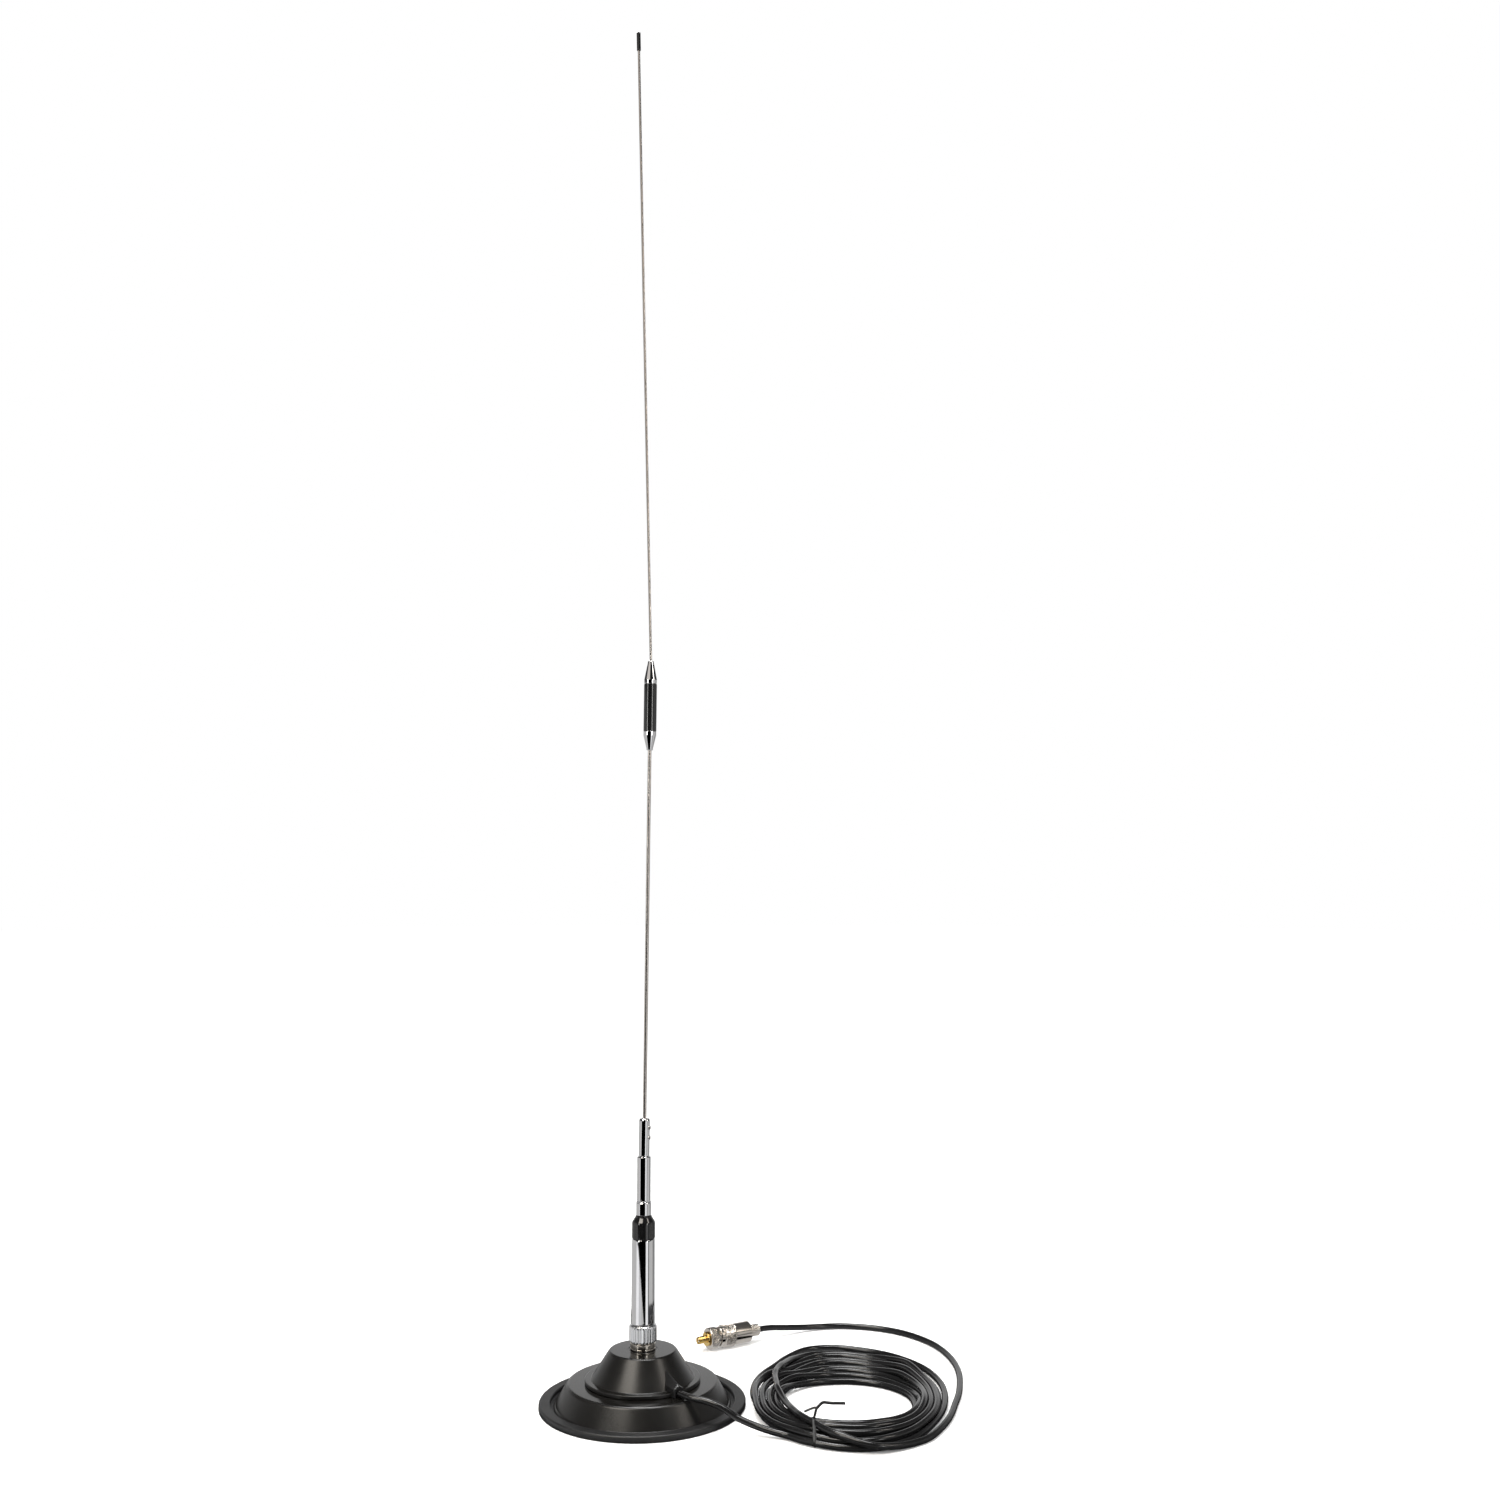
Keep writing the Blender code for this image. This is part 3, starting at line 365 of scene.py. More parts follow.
def rows(start, end, count):
    """Points along a straight stretch of an outline, with no fillet."""
    across, along = end[0] - start[0], end[1] - start[1]
    return [(start[0] + across * i / count, start[1] + along * i / count, 0) for i in range(count + 1)]


def cut_by(piece, bm, operation="DIFFERENCE", sharp=32.0):
    """Applies a Boolean with a shape that is then removed."""
    tool = add_mesh(piece.name + "_tool", bm)
    modifier = piece.modifiers.new("cut", "BOOLEAN")
    modifier.operation = operation
    modifier.object = tool
    bpy.context.view_layer.update()
    evaluated = piece.evaluated_get(bpy.context.evaluated_depsgraph_get())
    mesh = bpy.data.meshes.new_from_object(evaluated)
    piece.modifiers.clear()
    piece.data = mesh
    bpy.data.objects.remove(tool)
    mesh.shade_smooth()
    mesh.set_sharp_from_angle(angle=radians(sharp))


def cylinder(radius, depth, matrix, sides=48):
    bm = bmesh.new()
    ends = {"radius1": radius * MM, "radius2": radius * MM, "depth": depth * MM}
    bmesh.ops.create_cone(bm, cap_ends=True, segments=sides, matrix=matrix, **ends)
    return bm


def extruded(outline, low, high):
    """A flat outline of (y, z) points, in millimetres, extruded along X."""
    bm = bmesh.new()
    face = bm.faces.new([bm.verts.new((low * MM, y * MM, z * MM)) for y, z in outline])
    moved = bmesh.ops.extrude_face_region(bm, geom=[face])["geom"]
    verts = [v for v in moved if isinstance(v, bmesh.types.BMVert)]
    bmesh.ops.translate(bm, vec=((high - low) * MM, 0, 0), verts=verts)
    bmesh.ops.recalc_face_normals(bm, faces=bm.faces)
    return bm


def arc(radius, start, end, steps, centre=(0, 0)):
    angles = [radians(start + (end - start) * i / steps) for i in range(steps + 1)]
    return [(centre[0] + radius * cos(a), centre[1] + radius * sin(a)) for a in angles]


def wire(name, points, radius, resolution):
    """A round wire through points in metres, with filled ends."""
    curve = bpy.data.curves.new(name, "CURVE")
    curve.dimensions = "3D"
    curve.bevel_depth = radius
    curve.bevel_resolution = resolution
    curve.use_fill_caps = True
    spline = curve.splines.new("POLY")
    spline.points.add(len(points) - 1)
    for point, place in zip(spline.points, points):
        point.co = (*place, 1.0)
    spline.use_smooth = True
    return add_object(name, curve)


def lifted(height):
    return Matrix.Translation((0, 0, height * MM))


def fit(piece, body, finish, *replaced, matrix=None):
    """Puts a piece in its place on a body, in its finish, instead of CAD nodes."""
    if matrix is not None:
        piece.data.transform(matrix)
    if piece.type == "MESH":
        weighted = piece.modifiers.new("weighted_normals", "WEIGHTED_NORMAL")
        weighted.keep_sharp = True
    piece.data.materials.clear()
    piece.data.materials.append(FINISHES[finish])
    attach(piece, body)
    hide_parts(*replaced)
    return piece


# ------------------------------ the cord


def between(a, b, c, d, t):
    """A smooth curve through four values or points, read from b to c."""
    return 0.5 * (2 * b + (c - a) * t + (2 * a - 5 * b + 4 * c - d) * t**2 + (3 * b - a - 3 * c + d) * t**3)


def around(table, angle):
    """A value read smoothly from a table that goes once round in equal steps."""
    place = (angle % 360) / 360 * len(table)
    k = int(place)
    return between(*(table[(k + i) % len(table)] for i in (-1, 0, 1, 2)), place - k)


def ease(t):
    t = min(max(t, 0.0), 1.0)
    return t * t * (3 - 2 * t)


def change(passed, start, reach):
    return ease((passed - start) / reach)


def nearness(angle, middle, flat, fade):
    """1 near a direction, falling smoothly to 0."""
    away = abs((angle - middle + 180) % 360 - 180)
    return 1 - ease((away - flat) / fade)


def lane(turn, angle):
    """A turn's lane in a direction, read from the four sides' tables."""
    back = nearness(angle, *BACK_SIDE)
    right = nearness(angle, *RIGHT_SIDE)
    front = nearness(angle, *FRONT_SIDE)
    side = (1 - right - front) * LANES_LEFT[turn] + right * LANES_RIGHT[turn] + front * LANES_FRONT[turn]
    return side * (1 - back) + LANES_BACK[turn] * back


def coil_route(step=10):
    """The turns one after another: the lower layer from the outside in, then the upper one back out."""
    count = len(TURN_ORDER)
    points = []
    for number, turn in enumerate(TURN_ORDER):
        last = number == count - 1
        for passed in range(0 if number else step, LAST_TURN if last else 360, step):
            angle = COIL_START + passed
            place = lane(turn, angle)
            if last:
                place += (END_LANE - place) * change(passed, *END_CHANGE)
            else:
                place += (lane(TURN_ORDER[number + 1], angle) - place) * change(passed, *LANE_CHANGE)
            radius = around(COIL_OUTER, angle) * (1 - place) + around(COIL_INNER, angle) * place
            level = float(number >= LOWER_TURNS)
            following = float(number + 1 >= LOWER_TURNS)
            height = CABLE_RADIUS + LAYER_RISE * (level + (following - level) * change(passed, *LAYER_CLIMB))
            if last:
                height += END_RISE * change(passed, *END_CLIMB)
            x = COIL_CENTRE[0] + radius * MM * cos(radians(angle))
            y = COIL_CENTRE[1] + radius * MM * sin(radians(angle))
            points.append((x, y, height))
    return points


def evenly(route, spacing):
    """Points at an even spacing along the smooth curve through a route's points."""
    points = [np.array(p, float) for p in route]
    padded = [2 * points[0] - points[1], *points, 2 * points[-1] - points[-2]]
    fine = []
    for a, b, c, d in zip(padded, padded[1:], padded[2:], padded[3:]):
        fine += [between(a, b, c, d, k / 16) for k in range(16)]
    fine = np.array([*fine, points[-1]])
    walked = np.concatenate([[0], np.cumsum(np.linalg.norm(np.diff(fine, axis=0), axis=1))])
    wanted = np.linspace(0, walked[-1], int(round(walked[-1] / spacing)) + 1)
    return np.stack([np.interp(wanted, walked, fine[:, k]) for k in range(3)], 1)


def settle(start, rounds=420, calm=60):
    """Lets the strands of the coil down on the floor and on each other, a diameter apart.

    Each round they sink a little, are pushed apart where they lie in each other, and are bent smooth. The
    last rounds only push apart. The ends at the gland and at the plug stay as they are.
    """
    aim, line = start.copy(), start.copy()
    count = len(line)
    free = np.ones(count)
    free[: int(HELD_START / SPACING)] = 0
    free[-int(HELD_END / SPACING) :] = 0
    skip = int(LENGTH_APART / SPACING)
    at_front = (aim[:, 1] < COIL_FRONT) * (aim[:, 0] > LEAD_RIGHT)
    over_tie = np.exp(-(((aim[:, 0] - TIE_X) / TIE_REACH) ** 2)) * at_front
    lowest = CABLE_RADIUS + FLOOR_GAP + TIE_LIFT * over_tie
    for number in range(rounds):
        calming = number > rounds - calm
        if number % SEARCH_LASTS == 0:
            apart = ((line[:, None, :] - line[None, :, :]) ** 2).sum(2)
            i, j = np.where(apart < NEARBY**2)
            near = j - i > skip
            i, j = i[near], j[near]
        if not calming:
            line[:, 2] -= SINK * free
            line[:, :2] += PULL * (aim[:, :2] - line[:, :2])
        away = line[j] - line[i]
        distance = np.linalg.norm(away, axis=1)
        inside = KEPT_APART - distance
        hit = inside > 0
        if hit.any():
            a, b = i[hit], j[hit]
            push = away[hit] / distance[hit][:, None] * (inside[hit] * PUSH)[:, None]
            moved, hits = np.zeros_like(line), np.zeros(count)
            np.add.at(moved, b, push)
            np.add.at(moved, a, -push)
            np.add.at(hits, a, 1)
            np.add.at(hits, b, 1)
            line += moved / np.maximum(hits, 1)[:, None] ** 0.5 * free[:, None]
        for _ in range(1 if calming else 2):
            shift = line.copy()
            shift[:, :2] -= aim[:, :2]
            smooth = shift.copy()
            smooth[2:-2] = (shift[:-4] + 2 * shift[1:-3] + 2 * shift[2:-2] + 2 * shift[3:-1] + shift[4:]) / 8
            shift += (smooth - shift) * (CALM_SMOOTHING if calming else SMOOTHING) * free[:, None]
            shift[:, :2] += aim[:, :2]
            line = shift
        line[:, 2] = np.maximum(line[:, 2], lowest)
    return line


def make_cord():
    route = [*LEAD_ROUTE, *coil_route(), *CROSSING_ROUTE, *TAIL_ROUTE]
    line = settle(evenly(route, SPACING))
    cable = wire("coax_cable", [tuple(p) for p in line], CABLE_RADIUS, 5)
    fit(cable, "base", "cable", "cable_lead", "cable_coil", "cable_tail")
    return cable, line


def strands_at(line, x):
    """Where the cable crosses a plane of constant X on the coil's front side, as (y, z)."""
    places = []
    for a, b in zip(line, line[1:]):
        if (a[0] - x) * (b[0] - x) <= 0 and a[0] != b[0] and max(a[1], b[1]) < COIL_FRONT:
            t = (x - a[0]) / (b[0] - a[0])
            places.append((a[1] + (b[1] - a[1]) * t, a[2] + (b[2] - a[2]) * t))
    return places


def hull_round(places, radius, sides=40):
    """The tight loop round circles at several places, counter-clockwise."""
    angles = [2 * pi * k / sides for k in range(sides)]
    points = sorted({(y + radius * cos(a), z + radius * sin(a)) for y, z in places for a in angles})

    def half(order):
        chain = []
        for p in order:
            while len(chain) > 1:
                (ax, ay), (bx, by) = chain[-2], chain[-1]
                if (bx - ax) * (p[1] - ay) - (by - ay) * (p[0] - ax) > 0:
                    break
                chain.pop()
            chain.append(p)
        return chain[:-1]

    return half(points) + half(points[::-1])


def resampled(loop, spacing):
    """Even points on a closed loop."""
    points = np.array([*loop, loop[0]])
    walked = np.concatenate([[0], np.cumsum(np.linalg.norm(np.diff(points, axis=0), axis=1))])
    wanted = np.linspace(0, walked[-1], int(walked[-1] / spacing), endpoint=False)
    return np.stack([np.interp(wanted, walked, points[:, k]) for k in range(points.shape[1])], 1)


def ribbon(bm, centres, ups, sides, closed):
    """A flat strip with a wire's ridge along its middle. ups are its outward sides, sides its width's."""
    half = [(1.1, 0.02), (1.05, 0.26), (0.5, 0.3), (0.26, 0.52)]
    section = [(-a, b) for a, b in half] + half[::-1]
    rings = []
    for centre, up, side in zip(centres, ups, sides):
        place, u, s = Vector(centre), Vector(up), Vector(side)
        rings.append([bm.verts.new(place + s * a * MM + u * b * MM) for a, b in section])
    skin(bm, rings, closed)


# The twist tie's knot: its lean, its strands' distance from its axis, their turns and the steps along them.
# Its loose ends start from the knot's head.
KNOT_LEAN = (0.0018, 0.0042, 0.0050)
KNOT_RADIUS = 0.00025
KNOT_TURNS, KNOT_STEPS = 2.0, 40
TIE_SPACING, END_SPACING = 0.0008, 0.0006
TIE_LONG_END = [
    (0, 0, 0), (0.0012, 0.0020, 0.0006), (0.0030, 0.0048, 0.0013), (0.0048, 0.0072, 0.0018),
    (0.0066, 0.0082, 0.0016), (0.0110, 0.0082, 0.0011), (0.0160, 0.0082, 0.0010),
    (0.0215, 0.0082, 0.0009),
]
TIE_SHORT_END = [
    (0, 0, 0), (-0.0012, 0.0008, 0.0004), (-0.0034, 0.0010, -0.0004), (-0.0062, 0.0008, -0.0014),
    (-0.0090, 0.0004, -0.0024),
]


def make_tie(line):
    """The twist tie: a strip round the bundle, its two ends twisted together and their loose ends."""
    loop = resampled(hull_round(strands_at(line, TIE_X), CABLE_RADIUS), TIE_SPACING)
    count = len(loop)
    outward = []
    for k in range(count):
        along = loop[(k + 1) % count] - loop[k - 1]
        along /= np.linalg.norm(along)
        outward.append((0, along[1], -along[0]))
    bm = bmesh.new()
    ribbon(bm, [(TIE_X, y, z) for y, z in loop], outward, [(1, 0, 0)] * count, True)
    top = max(loop, key=lambda p: p[1])
    knot_foot = Vector((TIE_X + 0.0004, top[0] + 0.0018, top[1] + 0.0002))
    knot_head = knot_foot + Vector(KNOT_LEAN)
    axis = (knot_head - knot_foot).normalized()
    across = axis.cross(Vector((1, 0, 0))).normalized()
    other = axis.cross(across)
    for phase in (0, pi):
        centres, ups, sides = [], [], []
        for k in range(KNOT_STEPS + 1):
            angle = phase + 2 * pi * KNOT_TURNS * k / KNOT_STEPS
            out = across * cos(angle) + other * sin(angle)
            centres.append(knot_foot.lerp(knot_head, k / KNOT_STEPS) + out * KNOT_RADIUS)
            ups.append(out)
            sides.append(axis.cross(out))
        ribbon(bm, centres, ups, sides, False)
    for end, facing in zip((TIE_LONG_END, TIE_SHORT_END), ((0, -1, 0.5), (0, -0.5, 1))):
        points = evenly([knot_head + Vector(place) for place in end], END_SPACING)
        sides, ups = [], []
        for k in range(len(points)):
            along = Vector(points[min(k + 1, len(points) - 1)] - points[max(k - 1, 0)]).normalized()
            side = along.cross(Vector(facing)).normalized()
            sides.append(side)
            ups.append(side.cross(along))
        ribbon(bm, points, ups, sides, False)
    return fit(add_mesh("twist_tie_strip", bm, 50), "base", "tie", "twist_tie")


# ------------------------------ the base

RIM = (79.5, 5.0)
CONE_FOOT = (67.2, 2.2)
SHOULDER = (58.0, 18.2)
FLANGE = (44.5, 21.3)
CONE_START = (39.45, 21.3)
CROWN = (25.9, 42.0)
HOUSING_GAP = 0.3
GLAND_AXIS = 21.5
GLAND_TURN = radians(38 - 90)


def make_base():
    boot = turned("rubber_boot", [
        (0, 0), (60, 0, 0), (60.6, 0.5, 0.2), (62.4, 0.5, 0.2), (63.0, 0, 0), (74.0, 0, 0.1),
        (74.5, 0.4, 0.2), (75.7, 0.4, 0.2), (76.2, 0, 0.1), (RIM[0], 0, 1.1), (RIM[0], RIM[1], 1.7),
        (71.3, RIM[1], 0.5), (70.8, RIM[1] - 0.7, 0.2), (70.7, 1.5, 0.6), (0, 1.5),
    ], 160, 0.3)
    fit(boot, "base", "rubber", "base_boot")
    rise = (SHOULDER[0] - CONE_FOOT[0]) / (SHOULDER[1] - CONE_FOOT[1])
    lower = turned("lower_cone", [
        (CONE_FOOT[0] + 0.5, 1.75, 0.2), (CONE_FOOT[0] + 0.9, 2.2, 0.4),
        (CONE_FOOT[0] + 0.1, 2.9, 0.5), (CONE_FOOT[0] + 1.2 * rise, CONE_FOOT[1] + 1.2, 0.3),
        (*SHOULDER, 3.6), (44.9, SHOULDER[1], 0.3), (30, SHOULDER[1]), (30, 16.6),
        (SHOULDER[0] - 2.6, 16.6, 2.4), (CONE_FOOT[0] - 1.9, 1.75, 0.2),
    ], 160, 0.3)
    fit(lower, "base", "housing", "lower_housing")
    bottom = SHOULDER[1] + HOUSING_GAP
    upper = turned("upper_cone", [
        (FLANGE[0], bottom, 0.5), (*FLANGE, 0.7), (*CONE_START, 1.3), (*CROWN, 2.6),
        (11.4, CROWN[1], 0.25), (11.1, CROWN[1] - 0.35, 0.2), (10.3, CROWN[1] - 0.35, 0.2),
        (10.0, CROWN[1], 0.25), (6.4, CROWN[1]), (6.4, 40.2), (24.9, 40.2, 2.0), (36.95, 21.8),
        (36.95, bottom),
    ], 160, 0.3)
    turn = Matrix.Rotation(GLAND_TURN, 4, "Z")
    notch = cable_channel(3.0, 30, 46)
    bmesh.ops.transform(notch, matrix=turn, verts=notch.verts)
    cut_by(upper, notch)
    fit(upper, "base", "housing", "upper_housing")


def cable_channel(radius, low, high):
    """The room for the cable in the housing and in the strain relief, open at the bottom."""
    crown = arc(radius, 180, 0, 16, (0, GLAND_AXIS))
    return extruded([(radius, 16.9), (-radius, 16.9), *crown], low, high)


def make_gland():
    """The rubber strain relief: a ridged rib that runs down the cone to a boxy end round the cable."""
    bottom = SHOULDER[1] + HOUSING_GAP
    start, bend, end = 27.0, 47.2, 48.4
    half_width, crest, eaves_top, ridge_top, nose = 4.4, 0.75, 26.2, 35.7, 0.9
    stations = []
    for k in range(15):
        down = k / 14
        stations.append((start + (bend - start) * down, eaves_top - 1.6 * down, ridge_top - 8.8 * down, 0))
    for angle in (0.3, 0.6, 0.9, 1.2, pi / 2):
        stations.append((end - nose * (1 - sin(angle)), 24.5, 26.6, nose * (1 - cos(angle))))
    bm = bmesh.new()
    sections = []
    for x, eaves, ridge, inset in stations:
        half, eaves, ridge = half_width - inset * 0.7, eaves - inset * 0.5, ridge - inset * 0.7
        corners = [
            (-half, bottom, 0.25), (half, bottom, 0.25), (half, eaves, 1.0), (crest, ridge, 0.45),
            (-crest, ridge, 0.45), (-half, eaves, 1.0),
        ]
        outline = rounded(corners, 0.4, True, 5)
        sections.append([bm.verts.new((x * MM, y * MM, z * MM)) for y, z in outline])
    skin(bm, sections, False)
    gland = add_mesh("strain_relief", bm)
    turn = Matrix.Rotation(GLAND_TURN, 4, "Z")
    gland.data.transform(turn)
    bore = cable_channel(CABLE_RADIUS / MM + 0.15, 20, 60)
    bmesh.ops.transform(bore, matrix=turn, verts=bore.verts)
    cut_by(gland, bore)
    room = turned("gland_room", [
        (0, 10), (FLANGE[0] + 0.15, 10), (FLANGE[0] + 0.15, FLANGE[1] - 0.2),
        (FLANGE[0] - 0.4, FLANGE[1] + 0.1), (40.4, FLANGE[1] + 0.1), (39.5, FLANGE[1] + 0.5),
        (CROWN[0] + 0.25, CROWN[1]), (20, 50), (0, 50),
    ], 120, 0.0)
    solid = bmesh.new()
    solid.from_mesh(room.data)
    bpy.data.objects.remove(room)
    cut_by(gland, solid)
    fit(gland, "base", "gland", "cable_gland")


def fading(height, low, high, reach):
    """1 between two heights, falling to 0 at both."""
    return max(0.0, min(1.0, (height - low) / reach, (high - height) / reach))


def thread(pitch, depth, low, high, least):
    """Moves a turned piece's points between two heights and beyond a radius into a screw thread."""

    def shape(radius, height, angle):
        if not low <= height <= high or radius <= least:
            return radius
        part = (height / pitch - angle / (2 * pi)) % 1.0
        return radius - depth * fading(height, low, high, pitch) * min(1.0, 1.25 * abs(2 * part - 1))

    return shape


def make_socket():
    washer = turned("flat_washer", [(6.4, 42.3), (9.7, 42.3, 0.25), (9.7, 43.6, 0.3), (6.4, 43.6)], 112)
    fit(washer, "base", "nickel", "socket_washer")
    body = turned("threaded_socket", [
        (4.0, 29), (6.0, 29), (6.0, 43.9), (9.75, 43.9, 0.3), (9.75, 47.0, 0.3), (9.35, 47.4, 0.2),
        (7.55, 47.4, 0.1), (7.55, 47.9, 0.1), *rows((7.9, 48.2), (7.9, 55.4), 72), (7.4, 55.9, 0.1),
        (6.2, 55.9), (6.2, 45.3), (4.0, 45.3),
    ], shape=thread(1.06, 0.42, 48.2, 55.4, 7.8))
    fit(body, "base", "nickel", "socket_body")


# ------------------------------ the mast

FLUTES = 26
TUBE_BOTTOM, TUBE_TOP = 61.3, 125.6
RING_TOP = 142.9
COLLAR_TOP = 154.0
FOLD_PIVOT = 162.0
SLEEVE_TOP = 188.0
HOLDER_TOP = 217.1
LOWER_LEAN = radians(0.45)
UPPER_LEAN = radians(-1.45)
FERRULE_BOTTOM, FERRULE_TOP = 506.3, 578.2
PHASING_BOTTOM, PHASING_TOP = 521.6, 559.6
TIP_BOTTOM, TIP_TOP = 1093.0, 1109.6
WHIP_AXIS = lifted(SLEEVE_TOP) @ Matrix.Rotation(LOWER_LEAN, 4, "Y")
UPPER_TURN = Matrix.Rotation(UPPER_LEAN - LOWER_LEAN, 4, "Y")
UPPER_AXIS = WHIP_AXIS @ lifted(FERRULE_TOP + 1.0 - SLEEVE_TOP) @ UPPER_TURN
ALONG_X = Matrix.Rotation(pi / 2, 4, "Y")


def fluted(radius, height, angle):
    """The coupling nut's narrow grooves, which run out at its two chamfers."""
    if radius < 9.5:
        return radius
    part = (FLUTES * angle / (2 * pi)) % 1.0
    groove = max(0.0, 1 - abs(2 * part - 1) / 0.62) ** 0.7
    fade = min(1.0, max(0.0, (height - 48.3) / 0.8), max(0.0, (60.6 - height) / 0.9))
    return radius - 0.5 * groove * fade


def make_mast():
    nut = turned("fluted_nut", [
        (8.3, 48.0), (9.9, 48.0, 0.2), (10.45, 48.35, 0.2), *rows((10.75, 49.0), (10.75, 59.6), 10),
        (10.4, 60.3, 0.3), (9.7, 60.85, 0.3), (9.0, 61.0, 0.3), (7.0, 61.0), (7.0, 58.1),
        (8.3, 58.1),
    ], FLUTES * 10, shape=fluted)
    fit(nut, "coupling_nut", "brushed_chrome", "coupling_nut")
    tube = turned("chrome_tube", [
        (6.8, TUBE_BOTTOM), (8.7, TUBE_BOTTOM, 0.2), (9.25, TUBE_BOTTOM + 0.35, 0.3),
        (9.4, TUBE_BOTTOM + 1.0, 0.4), (9.35, TUBE_BOTTOM + 2.2, 0.1), (9.12, TUBE_TOP - 1.0, 0.3),
        (8.85, TUBE_TOP - 0.25, 0.3), (8.5, TUBE_TOP, 0.1), (7.7, TUBE_TOP), (8.2, 64.0),
        (6.8, 64.0),
    ], 128)
    fit(tube, "mast_base", "chrome", "base_tube")
    ring_bottom = TUBE_TOP + 0.3
    ring = turned("black_ring", [
        (3.3, 122.2), (7.3, 122.2), (7.3, ring_bottom), (8.75, ring_bottom, 0.2),
        (9.1, ring_bottom + 0.4, 0.3), (9.1, 137.4, 0.5), (8.7, 138.6, 0.3), (7.3, 140.7, 0.3),
        (6.6, 141.7, 0.3), (6.2, RING_TOP, 0.2), (3.3, RING_TOP),
    ], 112)
    fit(ring, "mast_base", "plastic", "insulator_ring")
    post = turned("hinge_collar", [
        (0, 122.4), (3.0, 122.4), (3.0, RING_TOP + 0.3), (5.55, RING_TOP + 0.3, 0.2),
        (5.95, RING_TOP + 0.7, 0.2), (5.95, 152.6, 0.2), (5.75, 152.9, 0.1), (5.75, 153.3, 0.1),
        (5.9, 153.6, 0.1), (5.55, COLLAR_TOP, 0.2), (0, COLLAR_TOP),
    ])
    tongue = [(-3.0, COLLAR_TOP - 3), (3.0, COLLAR_TOP - 3), *arc(3.0, 0, 180, 24, (0, FOLD_PIVOT))]
    cut_by(post, extruded(tongue, -2.0, 2.0), "UNION")
    cut_by(post, cylinder(1.35, 12, lifted(FOLD_PIVOT) @ ALONG_X))
    fit(post, "mast_base", "chrome", "hinge_post")


def make_fold_arm():
    foot = FOLD_PIVOT
    bottom = COLLAR_TOP + 0.3
    sleeve = turned("slotted_sleeve", [
        (0, bottom), (5.2, bottom, 0.2), (5.45, bottom + 0.3, 0.2), (5.45, SLEEVE_TOP - 0.5, 0.3),
        (5.0, SLEEVE_TOP, 0.2), (3.75, SLEEVE_TOP), (3.75, 175.6), (2.4, 175.6), (2.4, 164.5),
        (0, 164.5),
    ], foot=foot)
    slot = [(-3.4, -12), (9, -12), (9, 3.4), *arc(3.4, 90, 180, 16)]
    cut_by(sleeve, extruded(slot, -2.3, 2.3))
    heel = [(0, -14), (14, -14), (14, 0), *arc(7.5, 0, -90, 24)]
    cut_by(sleeve, extruded(heel, -8, 8))
    cut_by(sleeve, cylinder(1.3, 14, ALONG_X))
    raise_up = lifted(foot)
    fit(sleeve, "fold_arm", "chrome", "fold_sleeve", matrix=raise_up)
    pin = turned(
        "pivot_pin",
        [(0, -4.75), (0.55, -4.9, 0.1), (1.2, -4.75, 0.3), (1.2, 4.75, 0.3), (0.55, 4.9, 0.1), (0, 4.75)],
        40,
    )
    fit(pin, "fold_arm", "steel", "hinge_pin", matrix=raise_up @ ALONG_X)


def hexagonal(radius, height, angle):
    """The set screws' sockets."""
    if radius >= 0.85:
        return radius
    return radius * (1 / max(cos((angle % (pi / 3)) - pi / 6), 0.5)) * 0.93


def make_holder():
    foot = SLEEVE_TOP
    holder = turned("chuck", [
        (1.85, 177.8), (2.0, 176.4), (3.4, 176.4), (3.4, 188.3), (4.05, 188.3, 0.15),
        (4.35, 188.6, 0.2), (4.35, 215.5, 0.5), (3.9, 216.6, 0.4), (3.1, HOLDER_TOP, 0.3),
        (1.85, HOLDER_TOP),
    ], foot=foot)
    towards = radians(-25)
    for name, height in {"set_screw_upper": 210.2, "set_screw_lower": 202.5}.items():
        place = lifted(height - foot) @ Matrix.Rotation(towards, 4, "Z") @ ALONG_X
        cut_by(holder, cylinder(1.72, 6.0, place @ lifted(4.7), 40))
        screw = turned(name + "_socket", [
            (0, 2.0), (1.6, 2.0, 0.1), *rows((1.6, 2.2), (1.6, 4.5), 16), (1.45, 4.95, 0.25),
            (0.95, 4.95, 0.1), (0.8, 4.8, 0.05), (0.8, 3.9, 0.05), (0, 3.8),
        ], 48, 0.1, shape=hexagonal)
        fit(screw, "fold_arm", "steel", name, matrix=WHIP_AXIS @ place)
    fit(holder, "fold_arm", "chrome", "whip_holder", matrix=WHIP_AXIS)


